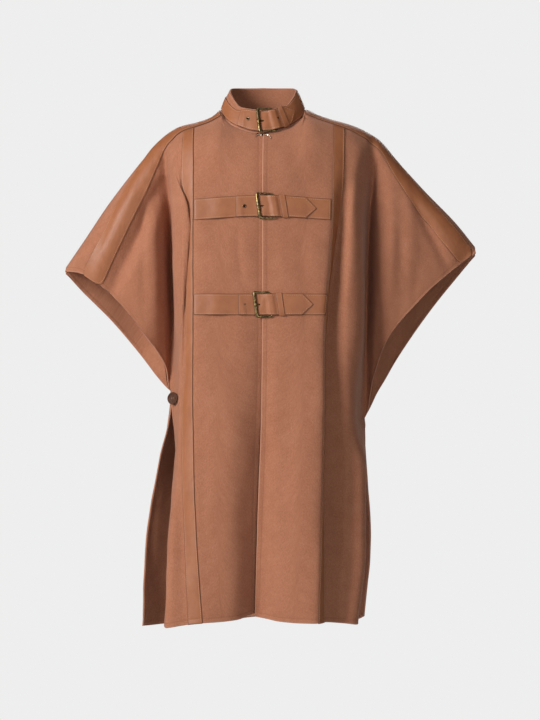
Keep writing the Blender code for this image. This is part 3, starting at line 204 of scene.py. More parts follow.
BACK_OUT = {
    "right": (
        # level, centre, chest, neck, strip_in, strip_out, crest, turn, hollow
        (-0.05, 0.0, 0.046, 0.0842, 0.1365, 0.1580, 0.1790, 0.190, 0.1980),
        (-0.20, 0.0, 0.046, 0.0860, 0.1370, 0.1600, 0.1800, 0.190, 0.1930),
        (-0.35, 0.0, 0.046, 0.0860, 0.1360, 0.1580, 0.1780, 0.188, 0.1850),
        (-0.56, 0.0, 0.047, 0.0880, 0.1340, 0.1560, 0.1760, 0.187, 0.1850),
        (-0.70, 0.0, 0.048, 0.0900, 0.1350, 0.1600, 0.1840, 0.203, 0.2120),
        (-0.85, 0.0, 0.050, 0.0930, 0.1360, 0.1640, 0.1930, 0.219, 0.2340),
        (-1.04, 0.0, 0.052, 0.0960, 0.1380, 0.1680, 0.2010, 0.230, 0.2460),
    ),
    "left": (
        (-0.05, 0.0, 0.046, 0.0842, 0.1385, 0.1659, 0.1900, 0.2050, 0.2165),
        (-0.20, 0.0, 0.046, 0.0860, 0.1380, 0.1650, 0.1880, 0.2010, 0.2120),
        (-0.35, 0.0, 0.045, 0.0850, 0.1350, 0.1610, 0.1850, 0.1980, 0.2050),
        (-0.61, 0.0, 0.044, 0.0830, 0.1300, 0.1540, 0.1780, 0.1950, 0.2020),
        (-0.70, 0.0, 0.044, 0.0830, 0.1290, 0.1540, 0.1790, 0.1990, 0.2090),
        (-0.85, 0.0, 0.044, 0.0840, 0.1290, 0.1540, 0.1800, 0.2050, 0.2180),
        (-1.04, 0.0, 0.044, 0.0840, 0.1280, 0.1500, 0.1740, 0.1930, 0.2040),
    ),
}

BACK_DEPTH = {
    "right": (
        # level, centre, chest, neck, strip_in, strip_out, crest, turn, hollow
        (-0.05, 0.125, 0.124, 0.120, 0.112, 0.098, 0.080, 0.062, 0.052),
        (-0.20, 0.135, 0.135, 0.132, 0.122, 0.112, 0.100, 0.080, 0.050),
        (-0.35, 0.130, 0.134, 0.134, 0.124, 0.112, 0.098, 0.070, 0.026),
        (-0.56, 0.126, 0.134, 0.136, 0.124, 0.110, 0.090, 0.050, 0.0033),
        (-0.70, 0.130, 0.140, 0.142, 0.126, 0.118, 0.104, 0.072, 0.036),
        (-0.85, 0.136, 0.148, 0.148, 0.128, 0.128, 0.120, 0.094, 0.064),
        (-1.04, 0.142, 0.156, 0.154, 0.130, 0.138, 0.134, 0.112, 0.084),
    ),
    "left": (
        (-0.05, 0.125, 0.124, 0.120, 0.112, 0.098, 0.080, 0.062, 0.052),
        (-0.20, 0.135, 0.134, 0.131, 0.124, 0.112, 0.098, 0.078, 0.050),
        (-0.35, 0.130, 0.131, 0.133, 0.128, 0.114, 0.096, 0.068, 0.026),
        (-0.61, 0.126, 0.128, 0.135, 0.130, 0.112, 0.088, 0.046, 0.0033),
        (-0.70, 0.130, 0.130, 0.140, 0.136, 0.116, 0.096, 0.060, 0.028),
        (-0.85, 0.136, 0.134, 0.148, 0.146, 0.124, 0.108, 0.080, 0.054),
        (-1.04, 0.142, 0.138, 0.156, 0.156, 0.132, 0.120, 0.096, 0.074),
    ),
}

# The fold line over the shoulder and down the wing: how far out, and its level.
RIDGE = {
    "right": (
        (0.084, 0.003), (0.097, -0.010), (0.130, -0.0226), (0.163, -0.0306), (0.183, -0.041),
        (0.198, -0.052), (0.212, -0.065), (0.244, -0.100), (0.275, -0.141), (0.317, -0.196),
        (0.367, -0.272), (0.394, -0.311),
    ),
    "left": (
        (0.084, 0.003), (0.108, -0.008), (0.137, -0.0174), (0.167, -0.0256), (0.190, -0.034),
        (0.208, -0.043), (0.235, -0.061), (0.259, -0.088), (0.288, -0.118), (0.319, -0.154),
        (0.363, -0.198), (0.407, -0.248), (0.4246, -0.271),
    ),
}
# Inside the neck the front and the back run on from there to the centre line.
NECK_LINE = {
    "front": ((0.0, -0.0180), (0.055, -0.0165), (0.079, -0.0090)),
    "back": ((0.0, 0.0250),),
}

# Drop over which the cloth rounds away from the fold line at each body guide.
ROUND_DROP = (0.130, 0.130, 0.135, 0.140, 0.125, 0.090, 0.058, 0.050)

# Guides of the wing, a row for each: how far out at the fold line, then at the sleeve hem how far
# out and the level, the depth at the fold, half way and at the hem, and the rounding drop.
FRONT_WING = {
    "right": (
        ("fold", 0.2100, 0.1954, -0.5080, 0.046, 0.045, 0.016, 0.046),
        ("swell", 0.2320, 0.2345, -0.4480, 0.045, 0.064, 0.050, 0.045),
        ("middle", 0.3060, 0.3005, -0.3686, 0.040, 0.050, 0.046, 0.040),
        ("outer", 0.3580, 0.3575, -0.3262, 0.034, 0.038, 0.034, 0.034),
        ("tip", 0.3940, 0.3950, -0.3190, 0.028, 0.028, 0.028, 0.030),
    ),
    "left": (
        ("fold", 0.2320, 0.2215, -0.5280, 0.046, 0.048, 0.022, 0.046),
        ("swell", 0.2594, 0.2501, -0.4523, 0.045, 0.060, 0.046, 0.045),
        ("middle", 0.3240, 0.3291, -0.3600, 0.040, 0.048, 0.044, 0.040),
        ("outer", 0.3840, 0.3800, -0.3160, 0.034, 0.036, 0.032, 0.034),
        ("tip", 0.4240, 0.4240, -0.2830, 0.028, 0.028, 0.028, 0.030),
    ),
}
BACK_WING = {
    "right": (
        ("fold", 0.2100, 0.2072, -0.5357, 0.052, 0.044, 0.016, 0.046),
        ("swell", 0.2320, 0.2443, -0.4895, 0.050, 0.058, 0.044, 0.045),
        ("middle", 0.3060, 0.3044, -0.4194, 0.044, 0.050, 0.044, 0.040),
        ("outer", 0.3580, 0.3628, -0.3596, 0.034, 0.038, 0.034, 0.034),
        ("tip", 0.3940, 0.3960, -0.3225, 0.028, 0.028, 0.028, 0.030),
    ),
    "left": (
        ("fold", 0.2320, 0.2299, -0.5613, 0.052, 0.044, 0.016, 0.046),
        ("swell", 0.2594, 0.2698, -0.4950, 0.050, 0.056, 0.044, 0.045),
        ("middle", 0.3240, 0.3383, -0.3963, 0.044, 0.050, 0.044, 0.040),
        ("outer", 0.3840, 0.3866, -0.3353, 0.034, 0.036, 0.032, 0.034),
        ("tip", 0.4240, 0.4255, -0.2870, 0.028, 0.028, 0.028, 0.030),
    ),
}

# Edges of each shoulder strip, as lengths from the fold line, a row for each guide place.
SHOULDER_STRIP_EDGES = {
    "right": (
        (2.0, 0.002, 0.042), (5.0, 0.001, 0.046), (7.0, 0.000, 0.052), (8.0, 0.001, 0.072),
        (9.2, 0.026, 0.114), (9.6, 0.044, 0.132), (10.3, 0.068, 0.165), (11.0, 0.084, 0.200),
    ),
    "left": (
        (2.0, 0.002, 0.042), (5.0, 0.001, 0.046), (7.0, 0.001, 0.044), (8.0, 0.003, 0.047),
        (9.0, 0.016, 0.066), (10.0, 0.030, 0.088), (11.0, 0.032, 0.091), (12.0, 0.030, 0.095),
    ),
}

# Level, and how far short of its outer guide a front strip stops, as a share of its outer half.
STRIP_SHORT = {
    "right": ((-1.02, 0.30), (-0.60, 0.35), (-0.50, 0.90), (-0.20, 0.95), (-0.14, 0.35)),
    "left": ((-1.02, 0.35), (-0.14, 0.35)),
}

UNDERARM = {"right": -0.560, "left": -0.612}
UNDERARM_SHARE = (0.0, 0.0, 0.0, 0.0, 0.15, 0.4, 0.7, 1.0)
UNDERARM_LEVEL = -0.560
# How much lower than at the centre the chest strap runs at each guide, and the levels that share in it.
CHEST_SAG = (0.0, 0.0012, 0.0040, 0.0070, 0.0075, 0.0060, 0.0, 0.0)
SAG_SHARE = ((-0.370, 0.0), (-0.300, 0.35), (-0.230, 1.0), (-0.160, 1.0), (-0.110, 0.6))
HEM_LEVEL = {
    # centre, chest, neck, strip_in, strip_out, crest, turn, hollow
    "front": {
        "right": (-0.9943, -1.0040, -1.0070, -1.0091, -1.0130, -1.0180, -1.0194, -1.0170),
        "left": (-0.9998, -1.0070, -1.0090, -1.0092, -1.0087, -1.0130, -1.0165, -1.0170),
    },
    "back": {
        "right": (-1.0300, -1.0310, -1.0320, -1.0330, -1.0340, -1.0350, -1.0360, -1.0350),
        "left": (-1.0300, -1.0300, -1.0300, -1.0300, -1.0290, -1.0270, -1.0230, -1.0150),
    },
}

FRONT_LEVELS = (
    YOKE_LEVEL, CHEST_STRAP_TOP, CHEST_STRAP_TOP - STRAP_BAND / 2, CHEST_STRAP_TOP - STRAP_BAND,
    -0.250, -0.290, -0.330, WAIST_STRAP_TOP, WAIST_STRAP_TOP - STRAP_BAND / 2,
    WAIST_STRAP_TOP - STRAP_BAND, -0.455, -0.505, UNDERARM_LEVEL,
    -0.63, -0.70, -0.77, -0.84, -0.91, -0.97, HEM_REACH,
)
BACK_LEVELS = (
    YOKE_LEVEL, -0.20, -0.25, -0.30, -0.36, -0.42, -0.49, UNDERARM_LEVEL,
    -0.64, -0.73, -0.83, -0.93, HEM_REACH,
)
LEVELS = {"front": FRONT_LEVELS, "back": BACK_LEVELS}
OUT = {"front": FRONT_OUT, "back": BACK_OUT}
DEPTH = {"front": FRONT_DEPTH, "back": BACK_DEPTH}
WING = {"front": FRONT_WING, "back": BACK_WING}
YOKE_ROWS = 7
ROWS_UNDER_STRIP = 3

# Rows and columns this far from a cut edge shape its bead, its groove and the line of its turned hem.
EDGE_STEPS = (0.0022, 0.0036, 0.0052, 0.0082, 0.0095, 0.0110)


def smooth(knots, values, at):
    """Curve through a table's rows, which never runs past a row's own value; at is an array."""
    knots = np.asarray(knots, float)
    values = np.asarray(values, float)
    steps = np.diff(knots).reshape((-1,) + (1,) * (values.ndim - 1))
    rises = np.diff(values, axis=0) / steps
    slopes = np.concatenate([rises[:1], np.zeros_like(rises[1:]), rises[-1:]])
    if len(knots) > 2:
        before = 2 * steps[1:] + steps[:-1]
        after = steps[1:] + 2 * steps[:-1]
        low, high = rises[:-1], rises[1:]
        same = low * high > 0
        safe_low = np.where(same, low, 1.0)
        safe_high = np.where(same, high, 1.0)
        slopes[1:-1] = np.where(same, (before + after) / (before / safe_low + after / safe_high), 0.0)
    at = np.clip(np.asarray(at, float), knots[0], knots[-1])
    k = np.clip(np.searchsorted(knots, at, side="right") - 1, 0, len(knots) - 2)
    shape = at.shape + (1,) * (values.ndim - 1)
    step = (knots[k + 1] - knots[k]).reshape(shape)
    t = ((at - knots[k]) / (knots[k + 1] - knots[k])).reshape(shape)
    return (
        values[k] * (1 + 2 * t) * (1 - t) ** 2
        + step * slopes[k] * t * (1 - t) ** 2
        + values[k + 1] * t * t * (3 - 2 * t)
        + step * slopes[k + 1] * t * t * (t - 1)
    )


def across(points, place):
    """Round curve across guide lines: points is guides x rows x size, place one place among guides."""
    points = np.asarray(points, float)
    i = min(int(place), len(points) - 2)
    share = place - i
    first, second = points[i], points[i + 1]
    before = points[i - 1] if i > 0 else 2 * first - second
    after = points[i + 2] if i + 2 < len(points) else 2 * second - first
    knots = [np.zeros(first.shape[:-1] + (1,))]
    for start, end in ((before, first), (first, second), (second, after)):
        length = np.linalg.norm(end - start, axis=-1, keepdims=True)
        knots.append(knots[-1] + np.maximum(length, 1e-6) ** 0.5)
    t = knots[1] + share * (knots[2] - knots[1])

    def blend(p, q, low, high):
        return ((high - t) * p + (t - low) * q) / (high - low)

    a1 = blend(before, first, knots[0], knots[1])
    a2 = blend(first, second, knots[1], knots[2])
    a3 = blend(second, after, knots[2], knots[3])
    b1 = blend(a1, a2, knots[0], knots[2])
    b2 = blend(a2, a3, knots[1], knots[3])
    return blend(b1, b2, knots[1], knots[2])


def value_across(values, place):
    """Value at a place among single values, one for each guide."""
    return float(across(np.asarray(values, float).reshape(-1, 1, 1), place)[0, 0])


def in_rows(rows, column, at):
    """One column of a table whose first column holds the knots."""
    return smooth([row[0] for row in rows], [row[column] for row in rows], at)


def bell(at, middle, half):
    """Share that falls away on both sides of a middle."""
    return np.exp(-((at - middle) / half) ** 2)


def unit(vectors):
    """Vectors drawn to length one."""
    return vectors / np.linalg.norm(vectors, axis=-1, keepdims=True)


def run_along(path):
    """Length run along a path from its start to each of its points."""
    return np.concatenate([[0.0], np.cumsum(np.linalg.norm(np.diff(path, axis=0), axis=1))])


def bilinear(values, i, j, s, t):
    """Values of a net at the shares s and t of the way from its point i, j to the next ones."""
    low = values[i, j] * (1 - s) + values[i + 1, j] * s
    high = values[i, j + 1] * (1 - s) + values[i + 1, j + 1] * s
    return low * (1 - t) + high * t


def cell_corners(valid, first=0):
    """Numbers of the four corners of each whole cell of a grid, its valid points counted from first."""
    number = np.full(valid.shape, -1)
    number[valid] = np.arange(valid.sum()) + first
    cell = valid[:-1, :-1] & valid[1:, :-1] & valid[:-1, 1:] & valid[1:, 1:]
    corners = (number[:-1, :-1], number[:-1, 1:], number[1:, 1:], number[1:, :-1])
    return [corner[cell] for corner in corners]


def ridge_level(side, out, face):
    """Level of the fold line; inside the neck it runs on level with the collar's seam."""
    return float(in_rows(NECK_LINE[face] + RIDGE[side], 1, out))


def turn_at(drop, rounding):
    """Angle turned over the shoulder at a drop below the fold line; it grows on past a right angle."""
    drop = np.asarray(drop, float)
    near = np.arccos(np.clip(1 - np.maximum(drop, 0.0) / rounding, -1.0, 1.0))
    return np.where(drop < rounding, near, np.pi / 2 + (drop - rounding) / rounding)


def drop_at(angle, rounding):
    """Drop below the fold line at an angle turned over the shoulder."""
    angle = np.asarray(angle, float)
    near = rounding * (1 - np.cos(angle))
    return np.where(angle < np.pi / 2, near, rounding + rounding * (angle - np.pi / 2))


def on_side(side, face, out, depth, turned, levels):
    """Points from the distance out, the depth, the angle turned over the shoulder and the level."""
    y = depth * np.sin(np.minimum(turned, np.pi / 2))
    return np.stack([SIDES[side] * out, -y if face == "front" else y, levels], axis=-1)


def section(side, face, levels):
    """Out and depth of each guide at some levels, and of the wing's first guide beyond them."""
    levels = np.atleast_1d(np.asarray(levels, float))
    out = sorted(OUT[face][side])
    depth = sorted(DEPTH[face][side])
    outs = smooth([row[0] for row in out], [row[1:] for row in out], levels)
    depths = smooth([row[0] for row in depth], [row[1:] for row in depth], levels)
    points = np.stack([outs, depths], axis=-1).transpose(1, 0, 2)
    _, ridge_out, hem_out, hem, top, half, end, _ = WING[face][side][0]
    share = np.clip((levels + 0.06) / (hem + 0.06), 0.0, 1.0)
    beyond = np.stack([ridge_out + (hem_out - ridge_out) * share,
                       smooth((0.0, 0.5, 1.0), (top, half, end), share)], axis=-1)
    run_on = 2 * points[-1] - points[-2]
    beyond = np.where(levels[:, None] > UNDERARM[side], beyond, run_on)
    return np.concatenate([points, beyond[None]])


def top_of(side, face, guide):
    """Out and depth of a guide where it crosses the shoulder."""
    return across(section(side, face, YOKE_LEVEL / 3), guide)[0]


def side_level(side, face, guide, level):
    """Level of a row at a guide: the chest strap's rows sag, and one row ends at the underarm."""
    share = value_across(UNDERARM_SHARE, guide)
    shift = UNDERARM[side] - UNDERARM_LEVEL
    level = np.asarray(level, float)
    if face == "front":
        level = level - in_rows(SAG_SHARE, 1, level) * value_across(CHEST_SAG, guide)
    above = level + shift * share * (level - YOKE_LEVEL) / (UNDERARM_LEVEL - YOKE_LEVEL)
    below = level + shift * share * (HEM_REACH - level) / (HEM_REACH - UNDERARM_LEVEL)
    return np.where(level > UNDERARM_LEVEL, above, below)


def body_points(side, face, guide, levels):
    """Points of the body's outer face on a guide line at some levels."""
    levels = np.atleast_1d(np.asarray(levels, float))
    rounding = value_across(ROUND_DROP, guide)
    ridge = ridge_level(side, top_of(side, face, guide)[0], face)
    turned = turn_at(ridge - levels, rounding)
    flat = across(section(side, face, levels), guide)
    return on_side(side, face, flat[:, 0], flat[:, 1], turned, levels)


def strip_edges(side, place):
    """Lengths over the shoulder, from the fold line, of the shoulder strip's back and front edge."""
    return tuple(float(in_rows(SHOULDER_STRIP_EDGES[side], k, place)) for k in (1, 2))


def neck_angle(side, face, guide):
    """Angle over the shoulder at which a guide starts: on the neck line, or on the fold line."""
    top_out, depth = top_of(side, face, guide)
    half = NECK_HALF + NECK_EASE
    if top_out >= half - 0.0001:
        return 0.0
    reach = (NECK_FRONT if face == "front" else NECK_BACK) + NECK_EASE
    return math.asin(reach * math.sqrt(1 - (top_out / half) ** 2) / depth)


def seam_angle(depth):
    """Angle of the shoulder seam, half a gap off the fold line."""
    return math.asin(GAP / 2 / depth)


def yoke_angles(side, face, guide, start, end):
    """Angles of the main rows above the yoke level; one of them is the shoulder strip's front edge."""
    rest = YOKE_ROWS - ROWS_UNDER_STRIP
    if face == "back":
        edge = start + (end - start) * ROWS_UNDER_STRIP / YOKE_ROWS
    elif guide < NECK_GUIDE:
        beside = strip_edges(side, NECK_GUIDE)[1] / top_of(side, face, NECK_GUIDE)[1]
        edge = start + (end - start) * beside / end
    else:
        edge = strip_edges(side, guide)[1] / top_of(side, face, guide)[1]
    under = [start + (edge - start) * k / ROWS_UNDER_STRIP for k in range(ROWS_UNDER_STRIP)]
    return under + [edge + (end - edge) * k / rest for k in range(rest)] + [end]


def row_levels(side, face, guide, rows):
    """Levels down one guide line at some row numbers; whole numbers are the main rows."""
    levels = LEVELS[face]
    top_out, top_depth = top_of(side, face, guide)
    rounding = value_across(ROUND_DROP, guide)
    ridge = ridge_level(side, top_out, face)
    start = max(neck_angle(side, face, guide), seam_angle(top_depth))
    end = float(turn_at(ridge - side_level(side, face, guide, YOKE_LEVEL), rounding))
    angles = np.interp(rows, range(YOKE_ROWS + 1), yoke_angles(side, face, guide, start, end))
    above = ridge - drop_at(angles, rounding)
    main = side_level(side, face, guide, levels)
    under = float(side_level(side, face, guide, UNDERARM_LEVEL))
    hem = value_across(HEM_LEVEL[face][side], guide)
    down = (np.asarray(levels) - UNDERARM_LEVEL) / (HEM_REACH - UNDERARM_LEVEL)
    main = np.where(down > 0, under + (hem - under) * down, main)
    below = np.interp(rows, YOKE_ROWS + np.arange(len(levels)), main)
    return np.where(rows < YOKE_ROWS, above, below)


def wing_guide_points(side, face, row, shares):
    """Points of one wing guide at shares of the angle between the seam and the sleeve hem."""
    _, ridge_out, hem_out, hem, top, half, end, rounding = row
    ridge = ridge_level(side, ridge_out, face)
    start = seam_angle(top)
    whole = float(turn_at(ridge - hem, rounding))
    angle = start + (whole - start) * np.asarray(shares, float)
    drop = drop_at(angle, rounding)
    down = drop / (ridge - hem)
    out = ridge_out + (hem_out - ridge_out) * down
    depth = smooth((0.0, 0.5, 1.0), (top, half, end), down)
    return on_side(side, face, out, depth, angle, ridge - drop)


def place_at_top(side, face, out):
    """Guide place inside the neck whose line starts this far out."""
    low, high = 0.0, float(NECK_GUIDE)
    for _ in range(30):
        middle = (low + high) / 2
        if top_of(side, face, middle)[0] < out:
            low = middle
        else:
            high = middle
    return (low + high) / 2


def main_places(side, face):
    """Guide places of the body's main columns; those inside the neck meet the collar's own columns."""
    half = NECK_HALF + NECK_EASE
    neck = [place_at_top(side, face, half * math.sin(math.radians(a))) for a in NECK_ANGLES]
    return [0.0] + neck + [float(g) for g in range(NECK_GUIDE, len(BODY))]


def filled(stops, lengths, edges):
    """Stops with steps of about a grid step between them, and with edge steps at the named ends."""
    places = []
    for start, end, length in zip(stops, stops[1:], lengths):
        count = max(1, math.ceil(length / GRID_STEP))
        places += [start + (end - start) * k / count for k in range(count)]
    places.append(stops[-1])
    for edge, inward in edges:
        run = lengths[0] if inward > 0 else lengths[stops.index(edge) - 1]
        span = stops[1] - stops[0] if inward > 0 else stops[stops.index(edge)] - stops[stops.index(edge) - 1]
        steps = [edge + inward * step / run * span for step in EDGE_STEPS]
        near = EDGE_STEPS[-1] * 1.25 / run * span
        places = [p for p in places if p == edge or not 0 < (p - edge) * inward < near] + steps
    return sorted(places)


def gaps_between(lines):
    """Mean distance between neighbouring lines of points."""
    return [float(np.linalg.norm(b - a, axis=-1).mean()) for a, b in zip(lines, lines[1:])]


class Grid:
    """Outer face of a cloth panel: columns x rows of points with normals, not a number outside it."""

    def __init__(self, points, places, rows, outward):
        self.points = points
        self.places = np.asarray(places, float)
        self.rows = np.asarray(rows, float)
        self.outward = outward
        self.normals = self.facing()

    def facing(self):
        """Unit normals from the neighbouring points."""

        def slope(axis):
            ahead = np.roll(self.points, -1, axis)
            behind = np.roll(self.points, 1, axis)
            last = [slice(None)] * 3
            last[axis] = -1
            first = [slice(None)] * 3
            first[axis] = 0
            ahead[tuple(last)] = np.nan
            behind[tuple(first)] = np.nan
            ahead = np.where(np.isnan(ahead), self.points, ahead)
            behind = np.where(np.isnan(behind), self.points, behind)
            return ahead - behind

        normal = np.cross(slope(0), slope(1)) * self.outward
        length = np.linalg.norm(normal, axis=-1, keepdims=True)
        return normal / np.maximum(length, 1e-12)

    def moved(self, height):
        """Moves the face along its normals."""
        self.points = self.points + self.normals * height[..., None]
        self.normals = self.facing()

    def at(self, place, row, up=0.0):
        """Points at places and row numbers, raised along the normal."""
        place = np.asarray(place, float)
        row = np.asarray(row, float)
        c = np.clip(np.searchsorted(self.places, place, side="right") - 1, 0, len(self.places) - 2)
        r = np.clip(np.searchsorted(self.rows, row, side="right") - 1, 0, len(self.rows) - 2)
        s = ((place - self.places[c]) / (self.places[c + 1] - self.places[c]))[..., None]
        t = ((row - self.rows[r]) / (self.rows[r + 1] - self.rows[r]))[..., None]
        normal = unit(bilinear(self.normals, c, r, s, t))
        return bilinear(self.points, c, r, s, t) + normal * np.asarray(up)[..., None]


def panel_rows(face):
    """Row numbers of a panel, close together at the hem and at the sleeve hem, and the underarm's."""
    levels = LEVELS[face]
    main_rows = [float(k) for k in range(YOKE_ROWS + len(levels))]
    underarm = float(YOKE_ROWS + levels.index(UNDERARM_LEVEL))
    line = body_points("right", face, 1.5, row_levels("right", face, 1.5, np.array(main_rows)))
    rows = filled(main_rows, gaps_between(line[:, None]), [(main_rows[-1], -1), (underarm, -1)])
    return np.array(rows), underarm


def half_panel(side, face):
    """One side of a panel: body columns from neck to hem, then wing columns to the sleeve hem."""
    rows, underarm = panel_rows(face)
    arm = int(np.searchsorted(rows, underarm))
    stops = main_places(side, face)
    at_waist = [body_points(side, face, g, [-0.30, -0.45, -0.80, -0.95]) for g in stops]
    edges = [(stops[-1], -1)] + ([(stops[0], 1)] if face == "front" else [])
    places = filled(stops, gaps_between(at_waist), edges)
    columns = [body_points(side, face, g, row_levels(side, face, g, rows)) for g in places]
    body = neck_evened(np.stack(columns))

    hollow = len(BODY) - 1
    turn = body_points(side, face, hollow - 1.0, row_levels(side, face, hollow - 1.0, rows[:arm + 1]))
    top_out, top_depth = top_of(side, face, float(hollow))
    ridge = ridge_level(side, top_out, face)
    turned = turn_at(ridge - body[-1, :arm + 1, 2], ROUND_DROP[hollow])
    start = seam_angle(top_depth)
    shares = (turned - start) / (turned[-1] - start)
    wing = WING[face][side]
    net = [turn, body[-1, :arm + 1]] + [wing_guide_points(side, face, row, shares) for row in wing]
    net = np.stack(net)
    guide_stops = [float(k) for k in range(len(wing) + 1)]
    fine = filled(guide_stops, gaps_between(net[1:, arm // 2:]), [])[1:]
    columns = np.full((len(fine), len(rows), 3), np.nan)
    for k, place in enumerate(fine):
        columns[k, :arm + 1] = across(net, place + 1)
    places = list(places) + [hollow + place for place in fine]
    outward = 1 if (face == "front") == (side == "right") else -1
    return Grid(np.concatenate([body, columns]), places, rows, outward)


def neck_evened(points):
    """Evens the cloth below the neck's corner, where the columns from neck and shoulder meet."""
    levels = np.linspace(-0.26, -0.010, 51)
    outs = np.linspace(0.0, 0.150, 151)
    reach = 36
    weights = np.exp(-0.5 * (np.arange(-reach, reach + 1) * 0.001 / 0.013) ** 2)
    weights /= weights.sum()
    columns = [column for column in points if np.abs(column[0, 0]) < 0.160 and np.isfinite(column[0, 0])]
    fade = np.clip((outs - 0.042) / 0.022, 0.0, 1.0) * np.clip((0.132 - outs) / 0.022, 0.0, 1.0)
    change = np.zeros((len(levels), len(outs)))
    for k, level in enumerate(levels):
        known = sorted(
            (abs(float(np.interp(-level, -c[:, 2], c[:, 0]))), float(np.interp(-level, -c[:, 2], c[:, 1])))
            for c in columns if c[0, 2] >= level)
        out, depth = np.array(known).T
        line = np.interp(outs, out, depth)
        even = np.convolve(np.pad(line, reach, mode="edge"), weights, mode="valid")
        change[k] = (even - line) * fade
    change *= np.clip((levels - levels[0]) / 0.06, 0.0, 1.0)[:, None]
    down = np.clip((points[..., 2] - levels[0]) / (levels[1] - levels[0]), 0.0, len(levels) - 1.001)
    across_out = np.clip(np.abs(points[..., 0]) / (outs[1] - outs[0]), 0.0, len(outs) - 1.001)
    row, column = np.nan_to_num(down).astype(int), np.nan_to_num(across_out).astype(int)
    s, t = down - row, across_out - column
    shift = (change[row, column] * (1 - s) * (1 - t) + change[row + 1, column] * s * (1 - t)
             + change[row, column + 1] * (1 - s) * t + change[row + 1, column + 1] * s * t)
    moved = points.copy()
    moved[..., 1] += shift * np.clip(length_along(points, 1) / 0.012, 0.0, 1.0)
    return moved


def length_along(points, axis, backwards=False):
    """Length run along an axis of the grid from its first or its last valid point."""
    step = np.linalg.norm(np.diff(points, axis=axis), axis=-1)
    step = np.where(np.isnan(step), 0.0, step)
    pad = [(0, 0), (0, 0)]
    pad[axis] = (1, 0)
    run = np.cumsum(np.pad(step, pad), axis=axis)
    if backwards:
        whole = np.take(run, [-1], axis=axis)
        run = whole - run
    return run


def edge_distance(grid, face):
    """Distance of each point from the nearest free edge: hem, sleeve hem, slit and centre front."""
    points = grid.points
    low = length_along(points, 1, backwards=True)
    away = low.copy()
    if face == "front":
        away = np.minimum(away, length_along(points, 0))
    hollow = int(np.searchsorted(grid.places, len(BODY) - 1.0))
    body = points[:hollow + 1]
    out = length_along(body, 0, backwards=True)
    below = np.arange(points.shape[1]) >= int(np.isfinite(points[-1, :, 0]).sum()) - 1
    slit = np.where(below[None, :], out, 1.0)
    away[:hollow + 1] = np.minimum(away[:hollow + 1], slit)
    return away


# How far the outer face rises at each distance from a free edge, and how much thicker the wall is.
EDGE_RISE = (
    (0.0, -0.00015), (0.0022, 0.00022), (0.0036, 0.00010), (0.0052, -0.00006), (0.0082, 0.0),
    (0.0095, -0.00040), (0.0110, 0.0), (1.0, 0.0),
)
EDGE_WALL = ((0.0, 0.0009), (0.0082, 0.0009), (0.0095, 0.0), (1.0, 0.0))

